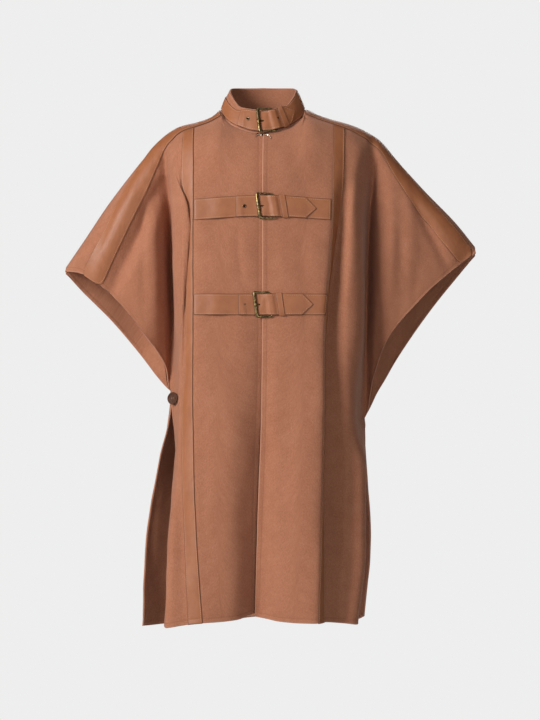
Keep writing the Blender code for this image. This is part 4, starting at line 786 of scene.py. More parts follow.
# Creases down each front and back: how far out and at what level each starts and ends, its sideways
# bow, half width and height. A trough has a negative height.
CREASES = {
    ("front", "right"): (
        # top out, top level, low out, low level, bow, half width, height
        (0.050, -0.225, 0.040, -0.350, 0.002, 0.0060, -0.0016),
        (0.034, -0.230, 0.024, -0.350, 0.000, 0.0110, 0.0011),
        (0.072, -0.222, 0.066, -0.352, -0.002, 0.0130, 0.0010),
        (0.096, -0.420, 0.082, -0.900, 0.006, 0.0260, 0.0026),
        (0.060, -0.440, 0.050, -0.980, -0.004, 0.0200, -0.0020),
        (0.118, -0.560, 0.104, -0.980, 0.003, 0.0130, -0.0014),
        (0.000, -0.380, -0.004, -1.160, 0.000, 0.0200, -0.0078),
        (0.060, -0.420, 0.052, -1.120, 0.000, 0.0240, 0.0060),
        (0.216, -0.120, 0.212, -0.480, 0.002, 0.0130, 0.0070),
        (0.238, -0.130, 0.235, -0.420, 0.002, 0.0080, -0.0020),
        (0.197, -0.130, 0.312, -0.385, 0.000, 0.0160, -0.0175),
        (0.240, -0.120, 0.352, -0.370, -0.002, 0.0150, 0.0085),
    ),
    ("front", "left"): (
        (0.072, -0.226, 0.076, -0.345, 0.002, 0.0100, -0.0012),
        (0.040, -0.228, 0.034, -0.340, 0.000, 0.0120, 0.0010),
        (0.098, -0.230, 0.094, -0.350, 0.000, 0.0120, 0.0009),
        (0.000, -0.400, 0.004, -1.120, 0.000, 0.0160, -0.0056),
        (0.048, -0.430, 0.040, -0.980, 0.004, 0.0220, -0.0018),
        (0.084, -0.430, 0.074, -0.990, -0.003, 0.0220, 0.0022),
        (0.146, -0.420, 0.144, -1.120, 0.002, 0.0110, -0.0034),
        (0.250, -0.120, 0.252, -0.420, 0.004, 0.0120, 0.0024),
        (0.272, -0.130, 0.270, -0.420, 0.002, 0.0130, -0.0020),
        (0.294, -0.140, 0.298, -0.390, -0.003, 0.0130, 0.0020),
        (0.284, -0.150, 0.376, -0.335, 0.004, 0.0120, -0.0062),
        (0.302, -0.300, 0.300, -0.400, 0.001, 0.0130, -0.0016),
    ),
    ("back", "right"): (
        (0.070, -0.240, 0.056, -0.880, 0.006, 0.0260, -0.0034),
        (0.112, -0.170, 0.100, -0.980, -0.005, 0.0300, 0.0036),
        (0.150, -0.220, 0.142, -0.760, 0.004, 0.0170, -0.0036),
        (0.030, -0.380, 0.034, -1.000, -0.004, 0.0240, 0.0026),
        (0.206, -0.600, 0.250, -1.020, 0.003, 0.0120, 0.0080),
        (0.226, -0.110, 0.224, -0.480, 0.004, 0.0120, 0.0040),
        (0.258, -0.120, 0.252, -0.440, 0.004, 0.0150, -0.0036),
        (0.296, -0.170, 0.288, -0.400, -0.004, 0.0150, 0.0030),
        (0.330, -0.220, 0.328, -0.360, 0.002, 0.0120, -0.0022),
    ),
    ("back", "left"): (
        (0.064, -0.300, 0.070, -0.940, -0.006, 0.0240, -0.0032),
        (0.104, -0.180, 0.110, -0.900, 0.005, 0.0260, 0.0034),
        (0.156, -0.250, 0.140, -0.820, 0.004, 0.0180, -0.0034),
        (0.026, -0.200, 0.022, -0.700, 0.004, 0.0200, 0.0020),
        (0.252, -0.120, 0.250, -0.470, 0.004, 0.0130, 0.0038),
        (0.288, -0.130, 0.282, -0.430, 0.003, 0.0150, -0.0036),
        (0.326, -0.180, 0.330, -0.380, -0.003, 0.0140, 0.0030),
        (0.362, -0.220, 0.366, -0.330, 0.002, 0.0120, -0.0020),
    ),
}


# Wider folds of the fronts, and of the back's right edge, by column: column, half width in columns,
# top and low level, and how far they are moved outwards from the middle and backwards.
FOLDS = {
    "right": (
        (4.95, 0.45, -0.100, -0.560, 0.0, 0.0260),
        (4.05, 0.38, -0.110, -0.560, 0.0, -0.0110),
        (4.95, 0.45, -0.110, -0.235, 0.0075, 0.0),
        (4.95, 0.50, -0.232, -0.570, 0.0085, 0.0),
    ),
    "left": (
        (5.70, 0.60, -0.110, -0.660, 0.0060, -0.0030),
        (5.00, 0.50, -0.420, -1.180, 0.0, 0.0140),
    ),
    "back": ((7.05, 0.95, -0.520, -0.960, -0.004, 0.0240),),
}


def folded(grid, side):
    """Moves the wider folds of a front or of the back."""
    level = grid.points[..., 2]
    shift = np.zeros_like(grid.points)
    for place, half, top, low, out, back in FOLDS[side]:
        within = np.clip((top - level) / (top - low), 0.0, 1.0)
        near = grid.places if side in SIDES else -grid.places
        share = np.sin(np.pi * within) * bell(near[:, None], place, half)
        shift += share[..., None] * np.array((SIDES.get(side, -1) * out, back, 0.0))
    grid.points = grid.points + shift
    grid.normals = grid.facing()


def crease_heights(rows, out, level):
    """Height of the creases at some points of a panel."""
    total = np.zeros_like(out)
    for top_out, top, low_out, low, bow, half, height in rows:
        share = (top - level) / (top - low)
        within = np.clip(share, 0.0, 1.0)
        centre = top_out + (low_out - top_out) * share + 4 * bow * share * (1 - share)
        ends = np.sin(np.pi * within) ** 0.8
        total = total + height * ends * bell(out, centre, half)
    return total


def ripple(points):
    """Faint unevenness of hanging cloth, from a few long waves that don't repeat together."""
    x, y, z = points[..., 0], points[..., 1], points[..., 2]
    waves = (
        (61.0, 23.0, 0.4, 0.00040), (38.0, -17.0, 1.9, 0.00050), (97.0, 31.0, 2.6, 0.00022),
        (23.0, 71.0, 4.1, 0.00022), (131.0, -43.0, 5.2, 0.00014), (47.0, 109.0, 0.9, 0.00012),
    )
    return sum(size * np.sin(a * (x + 0.6 * y) + b * z + phase) for a, b, phase, size in waves)


# The back's hem rises a little near its middle, so that it stays hidden behind the fronts; place and
# half width of that rise.
BACK_HEM_RISE = 0.0085
BACK_HEM_BELL = (-0.006, 0.050)
# Half width of the fronts that lies flat under the straps.
STRAP_SEAT = 0.140


def draped(grid, face, sides):
    """Puts the creases and the faint ripple on a panel, none of it at the neck and shoulder seam."""
    level = grid.points[..., 2]
    from_top = length_along(grid.points, 1)
    calm = np.clip((from_top - 0.015) / 0.06, 0.0, 1.0)
    height = sum(crease_heights(CREASES[face, s], SIDES[s] * grid.points[..., 0], level) for s in sides)
    seated = (face == "front") & (np.abs(grid.points[..., 0]) < STRAP_SEAT)
    for top in (CHEST_STRAP_TOP, WAIST_STRAP_TOP):
        middle = top - STRAP_BAND / 2
        flat = np.clip((np.abs(level - middle) - STRAP_BAND * 0.45) / 0.02, 0.0, 1.0)
        height = np.where(seated, height * flat, height)
    grid.moved((height + ripple(grid.points)) * calm)
    if face == "back":
        hem = np.clip(1.0 - length_along(grid.points, 1, backwards=True) / 0.070, 0.0, 1.0)
        rise = BACK_HEM_RISE * bell(grid.points[..., 0], *BACK_HEM_BELL) * hem
        grid.points[..., 2] += np.nan_to_num(rise)
    return grid


def placed(name, data):
    """Object of a mesh, lamp or camera, linked to the scene."""
    made = bpy.data.objects.new(name, data)
    bpy.context.scene.collection.objects.link(made)
    return made


def faced_outwards(mesh):
    """Turns the faces of a closed mesh outwards."""
    shape = bmesh.new()
    shape.from_mesh(mesh)
    bmesh.ops.recalc_face_normals(shape, faces=shape.faces)
    shape.to_mesh(mesh)
    shape.free()


def edge_marks(mesh, distances):
    """Keeps each point's distance from a cut edge, which the materials read."""
    edge = mesh.attributes.new("edge", "FLOAT", "POINT")
    edge.data.foreach_set("value", np.asarray(distances, np.float32))


def new_piece(name, points, faces, finish, uv=None):
    """Mesh object of the garment; uv holds a place in metres for each point."""
    mesh = bpy.data.meshes.new(name)
    mesh.from_pydata(np.asarray(points).tolist(), [], [tuple(int(i) for i in f) for f in faces])
    if uv is not None:
        layer = mesh.uv_layers.new(name="cloth")
        loops = np.empty(len(mesh.loops), dtype=np.int32)
        mesh.loops.foreach_get("vertex_index", loops)
        layer.data.foreach_set("uv", np.asarray(uv, np.float32)[loops].ravel())
    mesh.materials.append(finish)
    mesh.shade_smooth()
    made = placed(name, mesh)
    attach(made, "root")
    return made


# Angle of the first and the last point of a shell's rounded edge, from its outer and inner face.
RIM_TURN = 0.7


def shell(name, grid, wall, finish, away):
    """Cloth of a panel: outer face, inner face behind its wall, and round edges between them."""
    points, normals = grid.points, grid.normals
    valid = np.isfinite(points[..., 0])
    a, b, c, d = cell_corners(valid)
    faces = np.stack([a, b, c, d] if grid.outward < 0 else [a, d, c, b], axis=1)
    outer = points[valid]
    facing = normals[valid]
    thick = wall[valid]
    count = len(outer)

    starts = faces.ravel()
    ends = np.roll(faces, -1, axis=1).ravel()
    pairs = set(zip(starts.tolist(), ends.tolist()))
    rim = sorted((s, e) for s, e in pairs if (e, s) not in pairs)
    edge_out = np.zeros_like(outer)
    for s, e in rim:
        outward = np.cross(outer[e] - outer[s], facing[s] + facing[e])
        outward = outward / max(np.linalg.norm(outward), 1e-12)
        edge_out[s] += outward
        edge_out[e] += outward
    length = np.linalg.norm(edge_out, axis=1, keepdims=True)
    on_rim = length[:, 0] > 0
    edge_out = np.where(length > 0, edge_out / np.maximum(length, 1e-12), 0.0)
    half = thick[:, None] / 2
    middle = outer - facing * half
    top = np.where(on_rim[:, None], outer - edge_out * half, outer)
    low = top - facing * thick[:, None]
    layers = [top, low]
    order = np.full(count, -1)
    rim_points = np.flatnonzero(on_rim)
    order[rim_points] = np.arange(len(rim_points))
    turns = (RIM_TURN, math.pi / 2, math.pi - RIM_TURN)
    for turn in turns:
        ring = middle - edge_out * half + half * (math.cos(turn) * facing + math.sin(turn) * edge_out)
        layers.append(ring[rim_points])
    inner = faces[:, ::-1] + count
    sides = []
    bases = [2 * count + k * len(rim_points) for k in range(len(turns))]
    for s, e in rim:
        chain_s = [s] + [base + order[s] for base in bases] + [s + count]
        chain_e = [e] + [base + order[e] for base in bases] + [e + count]
        for k in range(len(chain_s) - 1):
            sides.append((chain_e[k], chain_s[k], chain_s[k + 1], chain_e[k + 1]))
    everything = np.concatenate(layers)
    run_out = length_along(points, 0)[valid]
    run_down = length_along(points, 1)[valid]
    flat = np.stack([run_out, run_down], axis=1)
    uv = np.concatenate([flat, flat + 3.0] + [flat[rim_points]] * len(turns))
    made = new_piece(name, everything, list(faces) + list(inner) + sides, finish, uv)
    near = away[valid]
    edge_marks(made.data, np.concatenate([near, near + 1.0] + [np.zeros(len(rim_points))] * len(turns)))
    return made


# Distance from a cut edge of leather, and how the rounded face lies there against the rest.
CUT_EDGE = ((0.0, -0.00075), (0.0004, -0.00028), (0.0009, -0.00006), (0.0016, 0.0))


def from_edge(table, away):
    """Values of a table of distances and values at some distances from an edge."""
    return np.interp(away, *np.array(table).T)


def leather(name, base, normals, lift, finish, crown=None):
    """Strip of leather over a net of base points: flat below, with its edges rounded above.

    base is along x across x 3, normals the same, lift a height for each point or one for all. The
    net's own edges are the cut edges; crown is an extra height across the strip.
    """
    along, wide = base.shape[:2]
    lift = np.broadcast_to(np.asarray(lift, float), (along, wide))
    across_run = length_along(base, 1)
    near_side = np.minimum(across_run, across_run[:, -1:] - across_run)
    along_run = length_along(base, 0)
    near_end = np.minimum(along_run, along_run[-1:] - along_run)
    near = np.minimum(near_side, near_end)
    rise = LEATHER + from_edge(CUT_EDGE, near)
    if crown is not None:
        rise = rise + crown(near_side)
    top = base + normals * (lift + rise)[..., None]
    low = base + normals * lift[..., None]
    points = np.concatenate([top.reshape(-1, 3), low.reshape(-1, 3)])
    number = np.arange(along * wide).reshape(along, wide)
    a, b, c, d = number[:-1, :-1], number[1:, :-1], number[1:, 1:], number[:-1, 1:]
    faces = np.stack([a, b, c, d], axis=-1).reshape(-1, 4)
    shift = along * wide
    under = faces[:, ::-1] + shift
    ring = np.concatenate([number[:-1, 0], number[-1, :-1], number[:0:-1, -1], number[0, :0:-1]])
    after = np.roll(ring, -1)
    walls = np.stack([after, ring, ring + shift, after + shift], axis=1)
    uv = np.stack([across_run, along_run], axis=-1).reshape(-1, 2)
    everything = np.concatenate([faces, under, walls])
    made = new_piece(name, points, everything, finish, np.concatenate([uv, uv + 5.0]))
    faced_outwards(made.data)
    edge_marks(made.data, np.concatenate([near.ravel(), np.zeros(along * wide)]))
    made.data.set_sharp_from_angle(angle=math.radians(70))
    return made


def tube(name, path, radius, finish, closed=False, sides=12, flatten=1.0):
    """Bent wire of round section; flatten squeezes the section from front to back."""
    path = np.asarray(path, float)
    count = len(path)
    ahead = np.roll(path, -1, 0) if closed else np.concatenate([path[1:], path[-1:]])
    behind = np.roll(path, 1, 0) if closed else np.concatenate([path[:1], path[:-1]])
    along = unit(ahead - behind)
    side = unit(np.cross(along, (0.0, -1.0, 0.05)))
    top = np.cross(side, along)
    radius = np.broadcast_to(np.asarray(radius, float), count)
    angles = np.linspace(0, 2 * math.pi, sides, endpoint=False)
    rings = (
        path[:, None]
        + radius[:, None, None] * np.cos(angles)[None, :, None] * side[:, None]
        + radius[:, None, None] * flatten * np.sin(angles)[None, :, None] * top[:, None]
    )
    points = rings.reshape(-1, 3)
    faces = []
    for i in range(count if closed else count - 1):
        j = (i + 1) % count
        for k in range(sides):
            m = (k + 1) % sides
            faces.append((i * sides + k, i * sides + m, j * sides + m, j * sides + k))
    if not closed:
        faces.append(tuple(range(sides))[::-1])
        faces.append(tuple((count - 1) * sides + k for k in range(sides)))
    run = run_along(path)
    round_it = radius[:, None] * angles[None, :]
    uv = np.stack(np.broadcast_arrays(run[:, None], round_it), axis=-1).reshape(-1, 2)
    made = new_piece(name, points, faces, finish, uv)
    faced_outwards(made.data)
    made.data.set_sharp_from_angle(angle=math.radians(60))
    return made


def rounded_path(corners, radius, steps=5, closed=True):
    """Path through corner points whose bends are rounded."""
    corners = [np.asarray(c, float) for c in corners]
    path = []
    for k, corner in enumerate(corners):
        before = corners[k - 1]
        after = corners[(k + 1) % len(corners)]
        if not closed and k in (0, len(corners) - 1):
            path.append(corner)
            continue
        come = before - corner
        go = after - corner
        reach = min(radius, np.linalg.norm(come) * 0.45, np.linalg.norm(go) * 0.45)
        start = corner + come / np.linalg.norm(come) * reach
        end = corner + go / np.linalg.norm(go) * reach
        for step in range(steps + 1):
            t = step / steps
            path.append((1 - t) ** 2 * start + 2 * t * (1 - t) * corner + t * t * end)
    return np.array(path)


STITCH = 0.0027
STITCH_PITCH = 0.0038
THREAD = 0.00032
THREAD_SIDES = 5


def stitches(name, path, facing, finish):
    """Row of saddle stitches along a path on a face, each a short thread sunk at both ends."""
    path = np.asarray(path, float)
    run = run_along(path)
    count = max(1, int((run[-1] - 0.002) / STITCH_PITCH))
    pitch = (run[-1] - 0.002) / count
    profile = ((0.0, 0.0), (0.12, 0.75), (0.5, 1.15), (0.88, 0.75), (1.0, 0.0))
    points, faces = [], []

    def on_path(values, at):
        return np.array([np.interp(at, run, values[:, k]) for k in range(3)])

    for k in range(count):
        start = 0.001 + k * pitch + (pitch - STITCH) / 2
        a = on_path(path, start)
        b = on_path(path, start + STITCH)
        up = on_path(facing, start + STITCH / 2)
        up = up / np.linalg.norm(up)
        side = np.cross(b - a, up)
        side = side / max(np.linalg.norm(side), 1e-12)
        first = len(points)
        for share, fat in profile:
            centre = a + (b - a) * share + up * (fat * THREAD - 0.5 * THREAD)
            if fat == 0.0:
                points.append(centre)
                continue
            for turn in range(THREAD_SIDES):
                angle = math.tau * turn / THREAD_SIDES + 0.3
                points.append(centre + THREAD * fat * (math.cos(angle) * side + math.sin(angle) * 0.8 * up))
        last = first + 3 * THREAD_SIDES + 1
        for turn in range(THREAD_SIDES):
            after = (turn + 1) % THREAD_SIDES
            faces.append((first, first + 1 + turn, first + 1 + after))
            for ring in (first + 1, first + 1 + THREAD_SIDES):
                beyond = ring + THREAD_SIDES
                faces.append((ring + turn, beyond + turn, beyond + after, ring + after))
            faces.append((last, last - THREAD_SIDES + after, last - THREAD_SIDES + turn))
    return new_piece(name, points, faces, finish)


def joined(name, objects):
    """One piece of several."""
    keep = objects[0]
    shape = bmesh.new()
    for made in objects:
        shape.from_mesh(made.data)
    shape.to_mesh(keep.data)
    shape.free()
    for made in objects[1:]:
        bpy.data.objects.remove(made, do_unlink=True)
    keep.name = name
    keep.data.shade_smooth()
    return keep


# The middle of the back's neck edge lies this much lower, over this half width, so that its curve is
# even, the collar's foot laps behind it by this much, and the shoulder seam is sewn shut by this much.
NECK_DIP = 0.0033
NECK_DIP_HALF = 0.0105
NECK_LAP = 0.0014
SEAM_SHUT = 0.0005
# How far the centre edge of each front is moved so that the two lap, and how wide that reaches.
LAP_PUSH = {"right": (0.0048, 0.0020, 0.0), "left": (-0.0006, -0.0010, 0.0)}
LAP_WIDTH = 0.010


def neck_dip(out):
    """How much lower the back's neck edge lies at a distance from its middle."""
    return NECK_DIP * bell(out, 0.0, NECK_DIP_HALF)


def back_panel():
    """The back from tip to tip: the wearer's right half has negative places."""
    right = half_panel("right", "back")
    left = half_panel("left", "back")
    away = np.concatenate([edge_distance(right, "back")[::-1], edge_distance(left, "back")[1:]])
    points = np.concatenate([right.points[::-1], left.points[1:]])
    places = np.concatenate([-right.places[::-1], left.places[1:]])
    whole = Grid(points, places, left.rows, left.outward)
    return whole, away


def level_seam(grid, direction):
    """Along the shoulder seam the cloth runs level over the fold line, so both panels meet flush."""
    seam = np.abs(grid.points[:, 0, 0]) > NECK_HALF
    along = np.gradient(grid.points[:, 0], axis=0)
    normal = np.cross(along, np.asarray(direction, float)) * grid.outward
    normal /= np.maximum(np.linalg.norm(normal, axis=1, keepdims=True), 1e-12)
    grid.normals[seam, 0] = normal[seam]


def lapped(grid, side):
    """The front with its centre edge lapping the other's: the wearer's left edge lies on top."""
    near = bell(length_along(grid.points, 0), 0.0, LAP_WIDTH)
    below = np.clip((length_along(grid.points, 1) - 0.003) / 0.012, 0.0, 1.0)
    push = (near * below)[..., None] * np.array(LAP_PUSH[side])
    return Grid(grid.points + push, grid.places, grid.rows, grid.outward)


def wool_panels(finish):
    """The two fronts and the back, draped and finished at their edges."""
    grids = {}
    for side in SIDES:
        grid = half_panel(side, "front")
        away = edge_distance(grid, "front")
        folded(grid, side)
        draped(grid, "front", (side,))
        grids[side] = (grid, away)
    whole, away = back_panel()
    fading = np.clip(1.0 - length_along(whole.points, 1) / 0.030, 0.0, 1.0)
    whole.points[..., 2] -= neck_dip(whole.points[..., 0]) * np.nan_to_num(fading)
    folded(whole, "back")
    grids["back"] = (draped(whole, "back", ("right", "left")), away)
    pieces = {}
    for key, (grid, away) in grids.items():
        grid.moved(from_edge(EDGE_RISE, away))
        level_seam(grid, (0.0, 1.0, 0.0) if key == "back" else (0.0, -1.0, 0.0))
        if key == "back":
            sewn_edge = np.abs(grid.points[:, 0, 0]) > NECK_HALF
            grid.points[sewn_edge, 0, 1] -= SEAM_SHUT
        wall = WOOL + from_edge(EDGE_WALL, away)
        node = "back" if key == "back" else f"front_{key}"
        shown = grid if key == "back" else lapped(grid, key)
        if key != "back":
            level_seam(shown, (0.0, -1.0, 0.0))
        made = shell(f"wool_{node}", shown, wall, finish, away)
        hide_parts(node)
        pieces[key] = made
    return {key: grid for key, (grid, _) in grids.items()}, pieces


def neck_level(degrees):
    """Level of the neck edge of the front or the back at an angle round the neck."""
    turned = min(degrees, 360 - degrees)
    face = "front" if turned < 90 else "back"
    side = "left" if degrees <= 180 else "right"
    out = (NECK_HALF + NECK_EASE) * math.sin(math.radians(turned))
    place = place_at_top(side, face, max(out, 0.0))
    ridge = ridge_level(side, top_of(side, face, place)[0], face)
    return ridge - float(drop_at(neck_angle(side, face, place), value_across(ROUND_DROP, place)))


def collar_grid():
    """Outer face of the stand collar, from the centre front round by the wearer's left."""
    main = [COLLAR_SLIT, *NECK_ANGLES, 90] + [180 - a for a in NECK_ANGLES[::-1]]
    main += [180] + [360 - a for a in main[::-1]]
    levels = [neck_level(a) for a in main]
    degrees = []
    for first, second in zip(main, main[1:]):
        degrees += list(np.linspace(first, second, 5)[:-1])
    degrees = np.array(degrees + [main[-1]])
    angle = np.radians(degrees)
    turned = np.minimum(degrees, 360 - degrees)
    rim = in_rows(COLLAR_RIM, 1, turned)
    forward = np.cos(angle) > 0
    base_reach = np.where(forward, NECK_FRONT, NECK_BACK)
    rim_reach = np.where(forward, RIM_FRONT, RIM_BACK)
    at_back = np.where(turned > 90, neck_dip(NECK_HALF * np.sin(angle)), 0.0)
    lap = NECK_LAP * np.clip((turned - 130) / 30, 0.0, 1.0)
    base = smooth(main, levels, degrees) + GAP - at_back - lap
    low = np.stack([NECK_HALF * np.sin(angle), -base_reach * np.cos(angle), base], axis=-1)
    high = np.stack([RIM_HALF * np.sin(angle), -rim_reach * np.cos(angle), rim], axis=-1)
    heights = np.linspace(0.0, 1.0, 21)
    heights = np.concatenate([heights[:-1], [0.975, 1.0]])
    points = low[:, None] + (high - low)[:, None] * heights[::-1, None]
    bulge = 0.0012 * np.sin(np.pi * heights[::-1])
    grid = Grid(points, degrees, 1.0 - heights[::-1], -1)
    grid.moved(np.broadcast_to(bulge, points.shape[:2]).copy())
    return grid, np.linalg.norm(high - low, axis=1)


# Lines across a strap on which its placing function is measured.
STRAP_ROWS = 13


def patch_between(grids, top_row):
    """Placing function across both fronts for a strap: along it, across it from -1 to 1, and up.

    It steps over the wearer's right centre edge, which lies a little behind the left one.
    """
    lines, facing, stations = [], [], []
    rows = np.linspace(top_row, top_row + 2, STRAP_ROWS)
    for side, order in (("right", -1), ("left", 1)):
        grid = grids[side]
        places = grid.places[grid.places <= BODY.index("strip_in")][::order]
        for place in places:
            if side == "right" and place < 0.35:
                continue
            line = grid.at(np.full(STRAP_ROWS, place), rows)
            lines.append(line)
            facing.append(grid.at(np.full(STRAP_ROWS, place), rows, 1.0) - line)
            stations.append(line[STRAP_ROWS // 2, 0])
    return placing(np.array(lines), np.array(facing), np.array(stations))


def placing(lines, facing, stations):
    """Placing function on a net of lines; beyond the net's two edges it runs straight on."""
    count = lines.shape[1] - 1

    def place(along, cross, up):
        along, cross, up = np.broadcast_arrays(*(np.asarray(v, float) for v in (along, cross, up)))
        k = np.interp(along, stations, range(len(stations)))
        i = np.clip(k.astype(int), 0, len(stations) - 2)
        r = np.clip((1 - cross) / 2 * count, 0, count)
        j = np.clip(r.astype(int), 0, count - 1)
        s = (k - i)[..., None]
        t = (r - j)[..., None]
        beyond = (cross - np.clip(cross, -1, 1))[..., None]
        point = bilinear(lines, i, j, s, t) + (lines[i, 0] - lines[i, -1]) / 2 * beyond
        return point + unit(bilinear(facing, i, j, s, t)) * up[..., None]

    return place


def net_on(place, stops, edges):
    """Points and normals of a strip on a placing function; edges gives its cross places at a stop."""
    rows = [edges(at) for at in stops]
    along = np.array([[at] * len(row) for at, row in zip(stops, rows)])
    cross = np.array(rows)
    base = place(along, cross, 0.0)
    return base, unit(place(along, cross, 0.001) - base), along, cross


def steps_between(start, end, step, ends=(0.0004, 0.0009, 0.0016, 0.003)):
    """Stops from start to end, closer together at both ends."""
    inner = np.linspace(start + ends[-1], end - ends[-1], max(2, math.ceil((end - start) / step)))
    near = [start, *(start + e for e in ends[:-1])]
    far = [*(end - e for e in ends[:-1][::-1]), end]
    return np.array([*near, *inner, *far])


# Cross places over a strap's half width, closer together at its edge.
STRAP_CROSS = (1.0, 0.981, 0.957, 0.923, 0.86, 0.80, 0.70, 0.5, 0.25)


def strap_cross(share=1.0):
    """Cross places from one edge of a strap to the other, drawn in to a share of its width."""
    half = [c * share for c in STRAP_CROSS]
    return np.array(half + [0.0] + [-c for c in half[::-1]])


EDGE_STITCH = 0.0032
STITCH_HOLLOW = 0.00022
STITCH_INSET = 1 - 2 * EDGE_STITCH / STRAP_BAND
# Column of a strip's net, counted from each edge, that its row of stitches follows.
STITCH_COLUMN = 4
THREAD_SUNK = 0.0001


def mirrored(half):
    """Shares over one half of a width, and their mirror images over the other."""
    return np.concatenate([half, 1 - np.array(half)[-2::-1]])


def edge_stitches(name, base, normals, lift, thread):
    """Rows of stitches along both edges of a strip of leather on a net, as one piece."""
    rows = []
    for k, at in enumerate((STITCH_COLUMN, base.shape[1] - 1 - STITCH_COLUMN)):
        on_face = base[:, at] + normals[:, at] * (lift + LEATHER - THREAD_SUNK)
        rows.append(stitches(f"thread_{k}", on_face, normals[:, at], thread))
    joined(name, rows)


def sewn(near_side):
    """Slight hollow of a strip along its rows of stitches."""
    return -STITCH_HOLLOW * bell(near_side, EDGE_STITCH, 0.0007)


def front_strips(grids, finish, thread):
    """Leather strips down both fronts, from under the shoulder strip to the hem."""
    inner, outer = float(BODY.index("strip_in")), float(BODY.index("strip_out"))
    shares = mirrored((0.0, 0.013, 0.03, 0.053, 0.08, 0.105, 0.13, 0.25, 0.5))
    for side in SIDES:
        grid = grids[side]
        first = ROWS_UNDER_STRIP + STRIP_TOP_SHARE
        rows = grid.rows[grid.rows > first + 0.08]
        rows = np.concatenate([[first, first + 0.03], rows])
        level = grid.at(np.full(len(rows), outer), rows)[:, 2]
        short = in_rows(sorted(STRIP_SHORT[side]), 1, level)
        edge = outer - short * (outer - inner) / 2
        place = inner + (edge - inner)[:, None] * shares[None, :]
        row = np.broadcast_to(rows[:, None], place.shape)
        base = grid.at(place, row)
        normals = unit(grid.at(place, row, 0.001) - base)
        made = leather(f"leather_strip_{side}", base, normals, STRIP_LIFT, finish, crown=sewn)
        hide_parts(f"strip_{side}")
        edge_stitches(f"strip_stitches_{side}", base, normals, STRIP_LIFT, thread)


def shoulder_net(side, place, lengths):
    """Points at lengths over the shoulder from the fold line, at one place along the strip."""
    hollow = len(BODY) - 1

    def on_body(at):
        top_out, depth = top_of(side, "front", at)
        ridge = ridge_level(side, top_out, "front")
        levels = ridge - drop_at(lengths / depth, value_across(ROUND_DROP, at))
        return body_points(side, "front", at, levels)

    if place <= hollow:
        return on_body(place)
    lines = [on_body(hollow - 1.0), on_body(float(hollow))]
    for row in FRONT_WING[side]:
        lines.append(wing_guide_points(side, "front", row, lengths / wing_length(side, row)))
    return across(np.stack(lines), place - hollow + 1)


def wing_length(side, row):
    """Length down a wing guide from the fold line to the sleeve hem."""
    _, ridge_out, _, hem, top, _, _, rounding = row
    return float(turn_at(ridge_level(side, ridge_out, "front") - hem, rounding)) * max(top, rounding)


def hem_reach(side, place):
    """Length from the fold line to the sleeve hem at a place along the shoulder."""
    hollow = len(BODY) - 1
    if place <= hollow + 1:
        return HEM_LENGTH_INSIDE
    return value_across([wing_length(side, row) for row in FRONT_WING[side]], place - hollow - 1)


def face_tree(grids):
    """Search tree of the panels' outer faces."""
    corners, faces = [], []
    for grid in grids:
        valid = np.isfinite(grid.points[..., 0])
        faces += np.stack(cell_corners(valid, len(corners)), axis=1).tolist()
        corners += [Vector(p) for p in grid.points[valid]]
    return BVHTree.FromPolygons(corners, faces)


def evened(net, times):
    """Net of points drawn a little towards its neighbours, its edges kept."""
    for _ in range(times):
        inner = (net[:-2, 1:-1] + net[2:, 1:-1] + net[1:-1, :-2] + net[1:-1, 2:]) / 4
        net = net.copy()
        net[1:-1, 1:-1] = net[1:-1, 1:-1] * 0.5 + inner * 0.5
        net[1:-1, 0] = net[1:-1, 0] * 0.5 + (net[:-2, 0] + net[2:, 0]) / 4
        net[1:-1, -1] = net[1:-1, -1] * 0.5 + (net[:-2, -1] + net[2:, -1]) / 4
    return net


def shoulder_strips(grids, finish, thread):
    """Leather strips beside the shoulder seam, from the collar to the sleeve hem, drawn to the wool."""
    shares = mirrored((0.0, 0.010, 0.024, 0.042, 0.064, 0.085, 0.11, 0.25, 0.5))
    for side in SIDES:
        tree = face_tree([grids[side], grids["back"]])
        places = np.arange(float(NECK_GUIDE), SHOULDER_STRIP_END[side], 0.10)
        places = np.append(places, SHOULDER_STRIP_END[side])
        net = []
        for place in places:
            back_edge, front_edge = strip_edges(side, place)
            front_edge = min(front_edge, hem_reach(side, place))
            lengths = back_edge + (front_edge - back_edge) * shares
            line = shoulder_net(side, place, lengths)
            net.append([tree.find_nearest(Vector(p))[0] for p in line])
        net = np.array(net, float)
        grid = Grid(evened(net, 3), places, shares, -1 if side == "left" else 1)
        base = np.array([[tree.find_nearest(Vector(p))[0] for p in line] for line in grid.points])
        normals = Grid(evened(base, 2), places, shares, grid.outward).normals
        name = f"shoulder_strip_{side}"
        made = leather(f"leather_{name}", base, normals, SHOULDER_LIFT, finish, crown=sewn)
        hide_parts(name)
        edge_stitches(f"shoulder_stitches_{side}", base, normals, SHOULDER_LIFT, thread)


def tongue_lift(at):
    """The tongue's outer face: it lies on the base strap and rises over the buckle's heel bar."""
    risen = HEEL_BAR_UP + BUCKLE_WIRE + GAP + LEATHER
    away = np.maximum(np.abs(np.asarray(at, float) - HEEL_BAR) - BUCKLE_SLANT * 0.6, 0.0)
    share = np.clip((TONGUE_RISE * 1.5 - away) / (TONGUE_RISE * 1.5 - BUCKLE_WIRE * 0.5), 0.0, 1.0)
    return TONGUE_UP + (risen - TONGUE_UP) * share * share * (3 - 2 * share)


